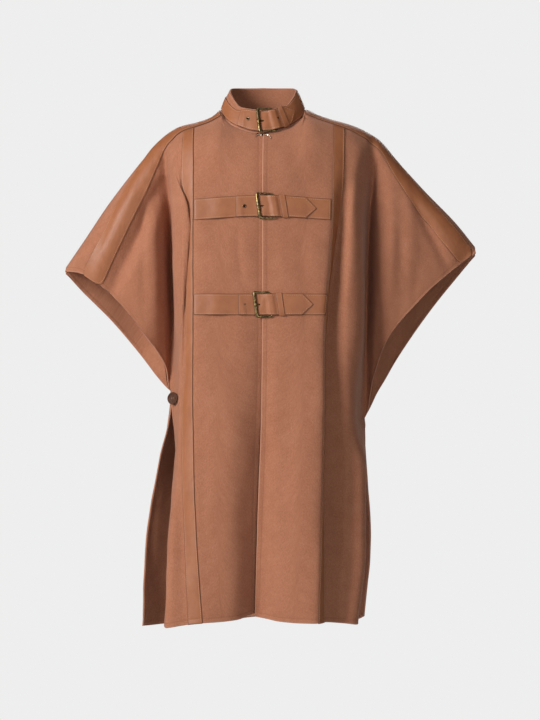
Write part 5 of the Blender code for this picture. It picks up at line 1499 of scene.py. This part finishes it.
def frame_path(place):
    """Rounded rectangle of the buckle's wire, leaning the way the photograph shows."""
    top = BUCKLE_HEIGHT / STRAP_BAND
    corners = []
    for along, cross, lift in (
        (OUTER_BAR, top, OUTER_BAR_UP), (OUTER_BAR, 0.0, OUTER_BAR_UP), (OUTER_BAR, -top, OUTER_BAR_UP),
        (HEEL_BAR, -top, HEEL_BAR_UP), (HEEL_BAR, 0.0, HEEL_BAR_UP), (HEEL_BAR, top, HEEL_BAR_UP),
    ):
        corners.append(place(along - BUCKLE_SLANT * cross / top, cross, lift))
    return rounded_path(corners, 0.0048, 6)


PLUG_SIDES = 16


def hole_plug(place, at, long_half, cross_half):
    """Upright plug that cuts a hole through the tongue."""
    up = float(tongue_lift(at))
    foot, head = place(at, 0.0, up - 3 * LEATHER), place(at, 0.0, up + 2 * LEATHER)
    side = place(at + long_half, 0.0, up) - place(at, 0.0, up)
    turned = np.cross(head - foot, side)
    turned = turned / np.linalg.norm(turned) * cross_half
    angles = np.linspace(0, math.tau, PLUG_SIDES, endpoint=False)
    rings = [[c + side * math.cos(a) + turned * math.sin(a) for a in angles] for c in (foot, head)]
    points = np.array(rings).reshape(-1, 3)
    faces = []
    for k in range(PLUG_SIDES):
        after = (k + 1) % PLUG_SIDES
        faces.append((k, after, PLUG_SIDES + after, PLUG_SIDES + k))
    faces += [tuple(range(PLUG_SIDES))[::-1], tuple(range(PLUG_SIDES, 2 * PLUG_SIDES))]
    mesh = bpy.data.meshes.new("plug")
    mesh.from_pydata(points.tolist(), [], faces)
    faced_outwards(mesh)
    return placed("plug", mesh)


def pierced(piece, plugs):
    """Cuts the plugs out of a piece for good."""
    for plug in plugs:
        cut = piece.modifiers.new("hole", "BOOLEAN")
        cut.operation = "DIFFERENCE"
        cut.object = plug
    bpy.context.view_layer.update()
    made = bpy.data.meshes.new_from_object(piece.evaluated_get(bpy.context.evaluated_depsgraph_get()))
    piece.modifiers.clear()
    piece.data = made
    for plug in plugs:
        bpy.data.objects.remove(plug, do_unlink=True)


def keeper(name, place, finish):
    """Leather loop over the tongue, its ends tucked down beside the base strap."""
    edge = 1 + 4 * GAP / STRAP_BAND
    over = float(tongue_lift(KEEPER_START + KEEPER_WIDTH / 2)) + GAP
    low = STRIP_LIFT + GAP
    half = [(edge, low), (edge, over), (0.5, over + 0.0002), (0.0, over + 0.0003)]
    loop = half + [(-cross, up) for cross, up in half[-2::-1]]
    outline = rounded_path([(cross, up, 0.0) for cross, up in loop], 0.0011, 4, closed=False)
    stops = steps_between(KEEPER_START, KEEPER_START + KEEPER_WIDTH, 0.002, (0.0003, 0.0007, 0.0012, 0.002))
    net = []
    for at in stops:
        along = at - BUCKLE_SLANT * outline[:, 0]
        net.append(place(along, outline[:, 0], outline[:, 1]))
    grid = Grid(np.array(net), stops, np.arange(len(outline)), -1)
    made = leather(f"leather_{name}", grid.points, grid.normals, 0.0, finish)
    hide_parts(name)


# Swell of the right base strap between its sewn end and the tongue: middle, half width and height.
BASE_SWELL = {"chest": (-0.0870, 0.0200, 0.0036), "waist": (-0.0850, 0.0190, 0.0046)}
# Soft waves of each tongue: where, how it leans across, half width and height.
TONGUE_WAVES = {
    "collar": ((-0.040, 0.003, 0.0045, 0.0012), (0.006, -0.004, 0.0060, 0.0006)),
    "chest": ((-0.045, 0.004, 0.0050, 0.0010), (0.006, -0.006, 0.0050, 0.0009), (0.055, 0.0, 0.020, 0.0006)),
    "waist": ((-0.036, 0.006, 0.0050, 0.0014), (0.006, -0.006, 0.0050, 0.0008), (0.055, 0.0, 0.020, 0.0006)),
}
TONGUE_TIP = (0.08, 0.18, 0.3, 0.45, 0.6, 0.75, 0.86, 0.94, 0.98, 1.0)
# Half length and half width of the holes in the tongues.
PRONG_SLOT = (0.0034, 0.0015)
SPARE_SIZE = (0.0019, 0.0019)
FAR_SIZE = (0.0021, 0.0021)
PRONG_POINT = 0.0007
EYELET_STEPS = 24


def thread_row(place, stops, cross, face, thread):
    """Row of stitches at some stops of a strap whose face lies this high."""
    base = place(stops, cross, face - THREAD_SUNK)
    above = place(stops, cross, face + 0.0009)
    return stitches("thread", base, (above - base) * 1000, thread)


def base_straps(name, place, reach, tongue_ends, finish, thread):
    """The two sewn straps that the tongue and the buckle lie on; their stitches are handed back."""
    threads = []
    start, point = tongue_ends[0], tongue_ends[1] - TIP_LENGTH
    middle, half, height = BASE_SWELL[name]
    face = STRIP_LIFT + LEATHER
    for part, low, high in (("right", -reach[0], BASE_RIGHT_END), ("left", BASE_LEFT_START, reach[1])):
        stops = steps_between(low, high, 0.004)
        base, normals, _, _ = net_on(place, stops, lambda at: strap_cross())
        lift = STRIP_LIFT + height * bell(stops, middle, half)
        lift = np.broadcast_to(lift[:, None], base.shape[:2])
        made = leather(f"leather_{name}_base_{part}", base, normals, lift, finish, crown=sewn)
        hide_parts(f"{name}_base_{part}")
        bare = stops[stops < start - 0.002] if part == "right" else stops[stops > point + 0.004]
        above = height * bell(bare, middle, half)
        for cross in (STITCH_INSET, -STITCH_INSET):
            threads.append(thread_row(place, bare, np.full(len(bare), cross), face + above, thread))
        at = low + EDGE_STITCH if part == "right" else high - EDGE_STITCH
        cross = np.linspace(STITCH_INSET, -STITCH_INSET, 12)
        threads.append(thread_row(place, np.full(12, at), cross, face, thread))
    return threads


def tongue_waves(name, start, along, cross):
    """Height of a tongue's soft waves, which begin past its start."""
    height = sum(high * bell(along + lean * cross, at, half) for at, lean, half, high in TONGUE_WAVES[name])
    return height * np.clip((along - start) / 0.012, 0.0, 1.0)


def tongue(name, place, ends, spare_hole, finish, thread):
    """Pierced and pointed strap through the buckle; its stitches are handed back."""
    start, end = ends
    point = end - TIP_LENGTH

    def width(at):
        return 1.0 - 0.965 * max(at - point, 0.0) / TIP_LENGTH

    body_stops = steps_between(start, point, 0.0022)
    tip_stops = point + TIP_LENGTH * np.array(TONGUE_TIP)
    stops = np.concatenate([body_stops[:-4], [point - 0.0012, point], tip_stops])
    base, normals, along, cross = net_on(place, stops, lambda at: strap_cross(width(at)))
    lift = tongue_lift(along + BUCKLE_SLANT * cross) - LEATHER + tongue_waves(name, start, along, cross)
    made = leather(f"leather_{name}_tongue", base, normals, lift, finish, crown=sewn)
    holes = [(PRONG_HOLE, *PRONG_SLOT), (spare_hole, *SPARE_SIZE)]
    if name == "collar":
        holes.append((COLLAR_FAR_HOLE, *FAR_SIZE))
    pierced(made, [hole_plug(place, *hole) for hole in holes])
    made.data.set_sharp_from_angle(angle=math.radians(60))
    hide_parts(f"{name}_tongue")

    threads = []
    clear = np.linspace(start + EDGE_STITCH, OUTER_BAR - 0.004, 16)
    shown = np.linspace(OUTER_BAR + 0.004, KEEPER_START - BUCKLE_SLANT - 0.001, 16)
    past = np.linspace(KEEPER_START + KEEPER_WIDTH + BUCKLE_SLANT + 0.001, point, 12)
    for run in (clear, shown, past):
        for cross in (STITCH_INSET, -STITCH_INSET):
            face = tongue_lift(run + BUCKLE_SLANT * cross) + tongue_waves(name, start, run, cross)
            threads.append(thread_row(place, run, np.full(len(run), cross), face, thread))
    tip_run = np.linspace(point, end - 2.4 * EDGE_STITCH, 8)
    tip_width = np.array([width(at) for at in tip_run])
    inset = np.maximum(tip_width - 2.9 * EDGE_STITCH / STRAP_BAND, 0.02)
    for sign in (1, -1):
        threads.append(thread_row(place, tip_run, sign * inset, tongue_lift(tip_run), thread))
    return threads


def buckle(name, place, brass):
    """Wire frame with a broad outer bar, and the prong that lies through the tongue on it."""
    route = frame_path(place)
    bar = place(OUTER_BAR, 0.0, OUTER_BAR_UP)
    ahead = place(OUTER_BAR + 0.01, 0.0, OUTER_BAR_UP) - bar
    leaning = (place(OUTER_BAR - BUCKLE_SLANT, 1.0, OUTER_BAR_UP) - bar) * 2 / STRAP_BAND
    across_bar = np.cross(leaning, np.cross(ahead, leaning))
    across_bar /= np.linalg.norm(across_bar)
    off = np.abs((route - bar) @ across_bar)
    at_bar = np.clip((0.006 - off) / 0.004, 0.0, 1.0)
    radius = BUCKLE_WIRE + (OUTER_BAR_WIRE - BUCKLE_WIRE) * at_bar
    frame = tube(f"brass_{name}_frame", route, radius, brass, closed=True, sides=14, flatten=BAR_FLATNESS)
    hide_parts(f"{name}_frame")
    rest = OUTER_BAR_UP + OUTER_BAR_WIRE * BAR_FLATNESS + PRONG_WIRE
    bends = (
        (HEEL_BAR - BUCKLE_WIRE - GAP, HEEL_BAR_UP - PRONG_WIRE),
        (HEEL_BAR - 0.0070, PRONG_WIRE + 0.0005),
        (PRONG_HOLE + 0.0030, PRONG_WIRE + 0.0005),
        (PRONG_HOLE - 0.0022, TONGUE_UP + PRONG_WIRE + 0.0002),
        (OUTER_BAR + 0.0026, rest - 0.0004),
        (OUTER_BAR, rest),
        (OUTER_BAR - 0.0038, rest - 0.0008),
    )
    route = rounded_path([place(along, 0.0, up) for along, up in bends], 0.002, 4, closed=False)
    radius = np.interp(np.linspace(0, 1, len(route)), (0, 0.8, 1), (PRONG_WIRE, PRONG_WIRE, PRONG_POINT))
    prong = tube(f"brass_{name}_prong", route, radius, brass, sides=10)
    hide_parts(f"{name}_prong")


def eyelet(name, place, hole, brass, dark):
    """Metal ring round the spare hole, and a near-black disc behind it: painted shade standing in for the
    hole's shadow.
    """
    up = float(tongue_lift(hole)) + EYELET_WIRE * 0.4
    turns = np.linspace(0, math.tau, EYELET_STEPS, endpoint=False)
    circle = (hole + EYELET_RADIUS * np.cos(turns), EYELET_RADIUS * np.sin(turns) * 2 / STRAP_BAND)
    ring = tube(f"{name}_eyelet_ring", place(*circle, up), EYELET_WIRE, brass, closed=True, sides=10)
    # Painted shade: a near-black disc under the hole makes it look deep and shadowed.
    rim = place(*circle, up - LEATHER * 1.2)
    back = new_piece(f"{name}_eyelet_painted_shade", rim, [tuple(range(EYELET_STEPS))], dark)
    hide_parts(f"{name}_eyelet")


def closure(name, place, reach, ends, spare_hole, looks):
    """Strap across the opening: two sewn bases, the pierced tongue, its keeper and the buckle."""
    finish, thread, brass, dark = looks
    threads = base_straps(name, place, reach, ends, finish, thread) if reach else []
    threads += tongue(name, place, ends, spare_hole, finish, thread)
    keeper(f"{name}_keeper", place, finish)
    buckle(name, place, brass)
    if name != "waist":
        eyelet(name, place, spare_hole, brass, dark)
    joined(f"{name}_stitches", threads)


def collar_pieces(grid, heights, looks):
    """Stand collar, the strap band sewn round it and the collar's own closure."""
    wool, finish, thread, brass, dark = looks
    away = np.minimum(length_along(grid.points, 0), length_along(grid.points, 0, backwards=True))
    away = np.minimum(away, length_along(grid.points, 1))
    grid.moved(from_edge(EDGE_RISE, away))
    made = shell("wool_collar", grid, np.full(away.shape, WOOL), wool, away)
    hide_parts("collar")

    seam_row = grid.points[2:-2, -1] + grid.normals[2:-2, -1] * 0.0006
    rolled = tube("wool_collar_seam", seam_row, 0.0010, wool)
    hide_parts("collar")

    degrees = grid.places
    turned = 360 - np.asarray(degrees, float)
    shown = np.where(turned < 180, in_rows(RIM_SHOWN_RIGHT, 1, turned), RIM_SHOWN_LEFT)
    high = np.minimum(COLLAR_BAND_LOW + STRAP_BAND, heights - shown)
    cross = strap_cross()
    tall = (high - COLLAR_BAND_LOW)[:, None] / 2
    share = (COLLAR_BAND_LOW + tall * (1 + cross)[None, :]) / heights[:, None]
    place = np.broadcast_to(degrees[:, None], share.shape)
    base = grid.at(place, 1 - share)
    normals = unit(grid.at(place, 1 - share, 0.001) - base)
    band = leather("leather_collar_band", base, normals, STRIP_LIFT, finish, crown=sewn)
    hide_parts("collar_band")
    edge_stitches("collar_band_stitches", base, normals, STRIP_LIFT, thread)

    half = len(degrees) // 2
    order = list(range(half + 1, len(degrees) - 2)) + list(range(half))
    steps = np.linspace(1, -1, STRAP_ROWS)
    share = (COLLAR_BAND_LOW + tall * (1 + steps)[None, :]) / heights[:, None]
    place = np.broadcast_to(degrees[:, None], share.shape)
    lines = grid.at(place, 1 - share)[order]
    facing = (grid.at(place, 1 - share, 1.0) - grid.at(place, 1 - share))[order]
    run = run_along(lines[:, STRAP_ROWS // 2])
    stations = run - run[len(order) - half]
    around = placing(lines, facing, stations)

    def raised(along, cross_place, up):
        return around(along, cross_place, np.asarray(up, float) + STRIP_LIFT + LEATHER)

    closure("collar", raised, None, COLLAR_TONGUE, COLLAR_SPARE_HOLE, (finish, thread, brass, dark))


# How far the button's four holes lie from its middle each way, and their radius.
BUTTON_HOLE_AT = 0.0020
BUTTON_HOLE_RADIUS = 0.0010


def side_button(side, grids, horn, thread):
    """Turned four-hole button sewn to its panel's edge just below the wing."""
    face, place = BUTTON_SEAT[side]
    level = UNDERARM[side] - BUTTON_DROP
    tree = face_tree([grids[side if face == "front" else "back"]])
    seat = body_points(side, face, place, [level])[0]
    seat = np.array(tree.find_nearest(Vector(seat))[0])
    near = body_points(side, face, place - 0.2, [level])[0]
    below = body_points(side, face, place, [level - 0.01])[0]
    normal = Vector(np.cross(near - seat, below - seat) * SIDES[side]).normalized()
    if face == "back":
        normal = -normal
    else:
        normal = (normal * 0.72 + Vector((0.0, -1.0, 0.0)) * 0.62).normalized()
        seat = seat + np.array(normal) * 0.0034
    foot = BUTTON_FOOT
    r = BUTTON_RADIUS
    profile = [
        (0.0, 0.0), (0.0020, 0.0), (0.0020, foot - 0.0006), (0.0055, foot - 0.0004), (r - 0.0022, foot),
        (r - 0.0006, foot + 0.0006), (r, foot + 0.0014), (r - 0.0003, foot + 0.0022),
        (r - 0.0012, foot + 0.0028), (r - 0.0022, foot + 0.0028), (r - 0.0032, foot + 0.0023),
        (r - 0.0040, foot + 0.0017), (0.0040, foot + 0.0014), (0.0, foot + 0.0014),
    ]
    shape = bmesh.new()
    knots = [shape.verts.new((x, 0.0, z)) for x, z in profile]
    edges = [shape.edges.new(pair) for pair in zip(knots, knots[1:])]
    bmesh.ops.spin(shape, geom=knots + edges, cent=(0, 0, 0), axis=(0, 0, 1), angle=math.tau,
                   steps=40, use_merge=True)
    bmesh.ops.remove_doubles(shape, verts=shape.verts, dist=0.00001)
    bmesh.ops.recalc_face_normals(shape, faces=shape.faces)
    mesh = bpy.data.meshes.new("button")
    shape.to_mesh(mesh)
    shape.free()
    mesh.materials.append(horn)
    button = placed(f"horn_button_{side}", mesh)
    plugs = []
    h, hole = BUTTON_HOLE_AT, BUTTON_HOLE_RADIUS
    for x, y in ((h, h), (-h, h), (-h, -h), (h, -h)):
        drill = bpy.data.meshes.new("drill")
        body = bmesh.new()
        bmesh.ops.create_cone(body, cap_ends=True, segments=14, radius1=hole, radius2=hole, depth=0.02)
        body.to_mesh(drill)
        body.free()
        plug = placed("drill", drill)
        plug.location = (x, y, foot)
        plugs.append(plug)
    pierced(button, plugs)
    button.data.shade_smooth()
    button.data.set_sharp_from_angle(angle=math.radians(40))
    turn = normal.to_track_quat("Z", "Y").to_matrix().to_4x4()
    turn.translation = Vector(seat) + normal * BUTTON_CLEAR
    button.data.transform(turn)
    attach(button, "root")
    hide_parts(f"button_{side}")
    threads = []
    for a, b in (((h, h), (h, -h)), ((-h, h), (-h, -h))):
        middle = ((a[0] + b[0]) / 2, (a[1] + b[1]) / 2, foot + 0.0020)
        arch = [(*a, foot - 0.0002), (*a, foot + 0.0016), middle, (*b, foot + 0.0016), (*b, foot - 0.0002)]
        path = [turn @ Vector(p) for p in arch]
        threads.append(tube("thread", rounded_path(path, 0.0008, 3, closed=False), 0.00045, thread, sides=8))
    joined(f"button_thread_{side}", threads)


def hook_and_eye(steel):
    """Wire hook and eye on the two centre edges, just under the collar."""
    for name, side, route in (("hook", "right", HOOK), ("eye", "left", EYE)):
        bends = [body_points(side, "front", place, [level])[0] for place, level in route]
        bends = [bend + np.array((0.0, -1.0, 0.3)) * HOOK_UP for bend in bends]
        made = tube(f"steel_{name}", rounded_path(bends, 0.004, 5, closed=False), HOOK_WIRE, steel, sides=10)
        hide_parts(name)


class Look:
    """Material under construction: adds nodes and joins them."""

    def __init__(self, name):
        self.material = bpy.data.materials.new(name)
        self.material.use_nodes = True
        self.tree = self.material.node_tree
        self.shader = self.tree.nodes["Principled BSDF"]

    def add(self, kind, inputs=(), **settings):
        node = self.tree.nodes.new(kind)
        for name, value in settings.items():
            setattr(node, name, value)
        for socket, value in dict(inputs).items():
            if isinstance(value, bpy.types.NodeSocket):
                self.tree.links.new(value, node.inputs[socket])
            else:
                node.inputs[socket].default_value = value
        return node

    def join(self, output, socket):
        self.tree.links.new(output, self.shader.inputs[socket])

    def number(self, operation, first, second=0.0):
        return self.add("ShaderNodeMath", {0: first, 1: second}, operation=operation).outputs[0]

    def stretched(self, source, scale):
        """Coordinates scaled differently along each axis."""
        return self.add("ShaderNodeVectorMath", {0: source, 1: scale}, operation="MULTIPLY").outputs[0]

    def noise(self, source, scale, detail=3.0, roughness=0.5, distortion=0.0):
        return self.add("ShaderNodeTexNoise", {
            "Vector": source, "Scale": scale, "Detail": detail, "Roughness": roughness,
            "Distortion": distortion}).outputs["Fac"]

    def ramp(self, value, stops):
        node = self.add("ShaderNodeValToRGB", {"Fac": value})
        ramp = node.color_ramp
        while len(ramp.elements) < len(stops):
            ramp.elements.new(0.5)
        for element, (place, colour) in zip(ramp.elements, stops):
            element.position = place
            element.color = (*colour, 1.0)
        return node.outputs["Color"]

    def total(self, *parts):
        """Sum of values, each times its weight."""
        whole = None
        for value, weight in parts:
            part = self.number("MULTIPLY", value, weight)
            whole = part if whole is None else self.number("ADD", whole, part)
        return whole

    def mix(self, share, first, second):
        node = self.add("ShaderNodeMix", {"Factor": share}, data_type="RGBA")
        for socket, value in ((6, first), (7, second)):
            if isinstance(value, bpy.types.NodeSocket):
                self.tree.links.new(value, node.inputs[socket])
            else:
                node.inputs[socket].default_value = (*value, 1.0)
        return node.outputs[2]

    def between(self, value, low, high, to_low=0.0, to_high=1.0):
        ends = {"From Min": low, "From Max": high, "To Min": to_low, "To Max": to_high}
        return self.add("ShaderNodeMapRange", {"Value": value, **ends}).outputs[0]

    def bump(self, height, strength, distance, normal=None):
        inputs = {"Height": height, "Strength": strength, "Distance": distance}
        if normal is not None:
            inputs["Normal"] = normal
        return self.add("ShaderNodeBump", inputs).outputs["Normal"]


WOOL_COLOUR = (0.345, 0.137, 0.075)
WOOL_DARK = (0.245, 0.091, 0.047)
WOOL_LIGHT = (0.430, 0.193, 0.115)
LEATHER_COLOUR = (0.300, 0.104, 0.041)
LEATHER_DARK = (0.105, 0.032, 0.012)


def wool_look():
    """Brushed double-faced wool: short nap with a fine weave under it; a painted highlight makes its cut
    edges paler, and painted shade darkens the sunken line of its turned hem.
    """
    look = Look("camel_wool_cloth")
    place = look.add("ShaderNodeUVMap", uv_map="cloth").outputs["UV"]
    edge = look.add("ShaderNodeAttribute", attribute_name="edge").outputs["Fac"]
    fibre = look.noise(look.stretched(place, (1.0, 0.70, 1.0)), 1500.0, 4.0, 0.62, 0.6)
    nap = look.noise(look.stretched(place, (1.0, 0.80, 1.0)), 360.0, 4.0, 0.6, 0.35)
    cloud = look.noise(place, 42.0, 3.0, 0.55)
    broad = look.noise(place, 9.0, 2.0)
    warp = look.add("ShaderNodeTexWave", {
        "Vector": place, "Scale": 255.0, "Distortion": 2.2, "Detail": 2.0, "Detail Scale": 3.0},
        wave_type="BANDS", bands_direction="X").outputs["Fac"]
    weft = look.add("ShaderNodeTexWave", {
        "Vector": place, "Scale": 230.0, "Distortion": 2.6, "Detail": 2.0, "Detail Scale": 3.0},
        wave_type="BANDS", bands_direction="Y").outputs["Fac"]
    weave = look.number("MULTIPLY", warp, weft)
    tone = look.total((fibre, 0.36), (nap, 0.40), (cloud, 0.14), (broad, 0.10), (weave, 0.05))
    colour = look.ramp(tone, ((0.36, WOOL_DARK), (0.51, WOOL_COLOUR), (0.66, WOOL_LIGHT)))
    # Painted highlight: the cut edges are painted paler and pinker, standing in for light catching the rims.
    painted_rim_highlight = look.between(edge, 0.0, 0.0042, 0.42, 0.0)
    colour = look.mix(painted_rim_highlight, colour, (0.52, 0.270, 0.180))
    # Painted shade: a darker line painted along the sunken line of the turned hem, about 9.5 mm in from the
    # edge.
    line = look.ramp(look.between(edge, 0.0080, 0.0108), (
        (0.0, (0.0, 0.0, 0.0)), (0.5, (0.55, 0.55, 0.55)), (1.0, (0.0, 0.0, 0.0))))
    colour = look.mix(line, colour, WOOL_DARK)
    look.join(colour, "Base Color")
    look.join(look.between(nap, 0.3, 0.7, 0.86, 0.96), "Roughness")
    look.shader.inputs["Specular IOR Level"].default_value = 0.18
    look.shader.inputs["Sheen Weight"].default_value = 0.22
    look.shader.inputs["Sheen Roughness"].default_value = 0.45
    look.shader.inputs["Sheen Tint"].default_value = (1.0, 0.74, 0.62, 1.0)
    height = look.total((nap, 0.8), (fibre, 0.5), (weave, 0.30))
    soft = look.bump(cloud, 0.12, 0.004)
    look.join(look.bump(height, 0.42, 0.0011, soft), "Normal")
    return look.material


def leather_look():
    """Smooth tan leather: fine pebbled grain, cloudy dye, soft shine and darker burnished edges."""
    look = Look("tan_leather_hide")
    place = look.add("ShaderNodeUVMap", uv_map="cloth").outputs["UV"]
    edge = look.add("ShaderNodeAttribute", attribute_name="edge").outputs["Fac"]
    cloud = look.noise(place, 55.0, 4.0, 0.6, 0.4)
    dye = look.noise(place, 14.0, 2.0)
    pores = look.add("ShaderNodeTexVoronoi", {"Vector": place, "Scale": 950.0, "Smoothness": 0.6},
                     feature="SMOOTH_F1").outputs["Distance"]
    wrinkle = look.noise(look.stretched(place, (0.5, 1.0, 1.0)), 260.0, 5.0, 0.65, 1.2)
    tone = look.total((cloud, 0.6), (dye, 0.4))
    tones = ((0.30, (0.262, 0.088, 0.034)), (0.5, LEATHER_COLOUR), (0.70, (0.338, 0.122, 0.050)))
    colour = look.ramp(tone, tones)
    pale = look.between(edge, 0.0020, 0.0034, 0.25, 0.0)
    colour = look.mix(pale, colour, (0.46, 0.205, 0.105))
    burnished = look.between(edge, 0.0005, 0.0018, 0.92, 0.0)
    colour = look.mix(burnished, colour, LEATHER_DARK)
    look.join(colour, "Base Color")
    look.join(look.between(wrinkle, 0.3, 0.7, 0.43, 0.57), "Roughness")
    look.shader.inputs["Specular IOR Level"].default_value = 0.40
    height = look.total((pores, 0.6), (wrinkle, 0.5))
    soft = look.bump(cloud, 0.20, 0.0035)
    look.join(look.bump(height, 0.22, 0.00045, soft), "Normal")
    return look.material


def metal_look(name, dark, bright, roughness):
    """Aged cast metal: bright where it is rubbed, with dull brown patches; it also makes the near-black
    painted shade behind the eyelet holes.
    """
    look = Look(name)
    place = look.add("ShaderNodeTexCoord").outputs["Object"]
    patches = look.noise(place, 260.0, 4.0, 0.6, 0.5)
    pits = look.noise(place, 2400.0, 2.0)
    colour = look.ramp(patches, ((0.38, dark), (0.62, bright)))
    look.join(colour, "Base Color")
    look.shader.inputs["Metallic"].default_value = 1.0
    look.join(look.between(patches, 0.35, 0.65, roughness + 0.14, roughness - 0.05), "Roughness")
    look.join(look.bump(pits, 0.10, 0.0002), "Normal")
    return look.material


def thread_look():
    """Waxed thread: short twisted strands a little paler than the leather."""
    look = Look("waxed_thread")
    place = look.add("ShaderNodeTexCoord").outputs["Object"]
    twist = look.noise(place, 3200.0, 2.0, 0.6)
    look.join(look.ramp(twist, ((0.35, (0.40, 0.18, 0.09)), (0.65, (0.62, 0.34, 0.20)))), "Base Color")
    look.shader.inputs["Roughness"].default_value = 0.7
    look.join(look.bump(twist, 0.3, 0.0002), "Normal")
    return look.material


def horn_look():
    """Dark horn with long brown streaks and a soft, low shine; the horn's own brown is painted darker still,
    as painted shade.
    """
    look = Look("brown_horn_with_painted_shade")
    place = look.add("ShaderNodeTexCoord").outputs["Object"]
    streaks = look.noise(look.stretched(place, (1.0, 1.0, 0.25)), 420.0, 4.0, 0.6, 1.5)
    # Partly painted shade: the horn's own brown, darkened further to stand in for the shade the button lies
    # in.
    tones = ((0.35, (0.042, 0.017, 0.009)), (0.62, (0.105, 0.043, 0.023)))
    look.join(look.ramp(streaks, tones), "Base Color")
    look.shader.inputs["Roughness"].default_value = 0.60
    look.shader.inputs["Specular IOR Level"].default_value = 0.18
    look.join(look.bump(streaks, 0.06, 0.0003), "Normal")
    return look.material


FLOOR_LEVEL = -1.45
BACKDROP = (0.855, 0.855, 0.855)
FILL_LIGHT = 0.07
# Name, place, width and height, and power of each soft light.
LIGHTS = (
    ("key", (-3.45, -3.15, 1.25), (1.9, 2.1), 268.0),
    ("right_fill", (1.5, -4.9, 0.0), (1.6, 2.0), 46.0),
    ("top", (-0.3, -0.5, 2.6), (1.8, 1.8), 20.0),
    ("back_fill", (0.6, 3.6, 0.8), (2.6, 2.0), 60.0),
)


def stage():
    """Plain pale floor well below the hem, pale surroundings and soft studio light."""
    shape = bmesh.new()
    bmesh.ops.create_circle(shape, cap_ends=True, segments=96, radius=14.0)
    mesh = bpy.data.meshes.new("floor")
    shape.to_mesh(mesh)
    shape.free()
    floor = placed("floor", mesh)
    floor.location = (0.0, 0.0, FLOOR_LEVEL)
    look = Look("pale_floor")
    glow = look.add("ShaderNodeEmission", {"Color": (*BACKDROP, 1.0), "Strength": 1.0})
    matte = look.add("ShaderNodeBsdfDiffuse", {"Color": (0.62, 0.62, 0.62, 1.0)})
    seen = look.add("ShaderNodeLightPath").outputs["Is Camera Ray"]
    mixed = look.add("ShaderNodeMixShader", {0: seen, 1: matte.outputs[0], 2: glow.outputs[0]})
    output = look.tree.nodes["Material Output"]
    look.tree.links.new(mixed.outputs[0], output.inputs["Surface"])
    mesh.materials.append(look.material)
    floor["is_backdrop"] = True

    world = bpy.data.worlds.new("studio")
    bpy.context.scene.world = world
    world.use_nodes = True
    nodes, links = world.node_tree.nodes, world.node_tree.links
    nodes.clear()
    plain = nodes.new("ShaderNodeBackground")
    plain.inputs["Color"].default_value = (*BACKDROP, 1.0)
    plain.inputs["Strength"].default_value = 1.0
    fill = nodes.new("ShaderNodeBackground")
    fill.inputs["Color"].default_value = (1.0, 1.0, 1.0, 1.0)
    fill.inputs["Strength"].default_value = FILL_LIGHT
    seen = nodes.new("ShaderNodeLightPath")
    mixed = nodes.new("ShaderNodeMixShader")
    output = nodes.new("ShaderNodeOutputWorld")
    links.new(seen.outputs["Is Camera Ray"], mixed.inputs[0])
    links.new(fill.outputs[0], mixed.inputs[1])
    links.new(plain.outputs[0], mixed.inputs[2])
    links.new(mixed.outputs[0], output.inputs["Surface"])

    for name, place, size, power in LIGHTS:
        light = bpy.data.lights.new(name, "AREA")
        light.shape = "RECTANGLE"
        light.size, light.size_y = size
        light.energy = power
        lamp = placed(name, light)
        lamp.location = place
        aim = Vector((0.0, 0.0, -0.5)) - Vector(place)
        lamp.rotation_euler = aim.to_track_quat("-Z", "Y").to_euler()


CAMERA_DISTANCE = 6.0
CAMERA_CENTRE = (0.014, -0.496)
CAMERA_LENS = 150.0


def camera():
    """Level camera straight in front, as far as the photograph's perspective shows."""
    lens = bpy.data.cameras.new("camera")
    lens.lens = CAMERA_LENS
    lens.sensor_width = 36.0
    lens.sensor_fit = "AUTO"
    made = placed("camera", lens)
    made.location = (CAMERA_CENTRE[0], -CAMERA_DISTANCE, CAMERA_CENTRE[1])
    made.rotation_euler = (math.radians(90), 0.0, 0.0)
    bpy.context.scene.camera = made
    bpy.context.scene.view_settings.view_transform = "Standard"


def build():
    wool, hide, thread = wool_look(), leather_look(), thread_look()
    brass = metal_look("aged_brass_cast", (0.050, 0.035, 0.017), (0.290, 0.205, 0.092), 0.34)
    steel = metal_look("polished_wire", (0.50, 0.42, 0.32), (0.85, 0.78, 0.66), 0.24)
    # Painted shade: near-black finish for the discs under the eyelet holes, standing in for their shadow.
    dark = metal_look("painted_shade_hole_black", (0.006, 0.004, 0.003), (0.020, 0.013, 0.008), 0.60)
    horn = horn_look()
    grids, panels = wool_panels(wool)
    front_strips(grids, hide, thread)
    shoulder_strips(grids, hide, thread)
    collar, heights = collar_grid()
    collar_pieces(collar, heights, (wool, hide, thread, brass, dark))
    looks = (hide, thread, brass, dark)
    chest = patch_between(grids, YOKE_ROWS + FRONT_LEVELS.index(CHEST_STRAP_TOP))
    waist = patch_between(grids, YOKE_ROWS + FRONT_LEVELS.index(WAIST_STRAP_TOP))
    closure("chest", chest, CHEST_REACH, CHEST_TONGUE, CHEST_SPARE_HOLE, looks)

    def towards_right(along, cross, up):
        return waist(np.asarray(along, float) + WAIST_BUCKLE_SHIFT, cross, up)

    closure("waist", towards_right, WAIST_REACH, WAIST_TONGUE, WAIST_SPARE_HOLE, looks)
    for side in SIDES:
        side_button(side, grids, horn, thread)
    hook_and_eye(steel)
    bpy.context.view_layer.update()


build()
stage()
camera()
for low, high in (CAD_BOX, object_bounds()):
    json.dumps([list(low), list(high)]) + "\n"
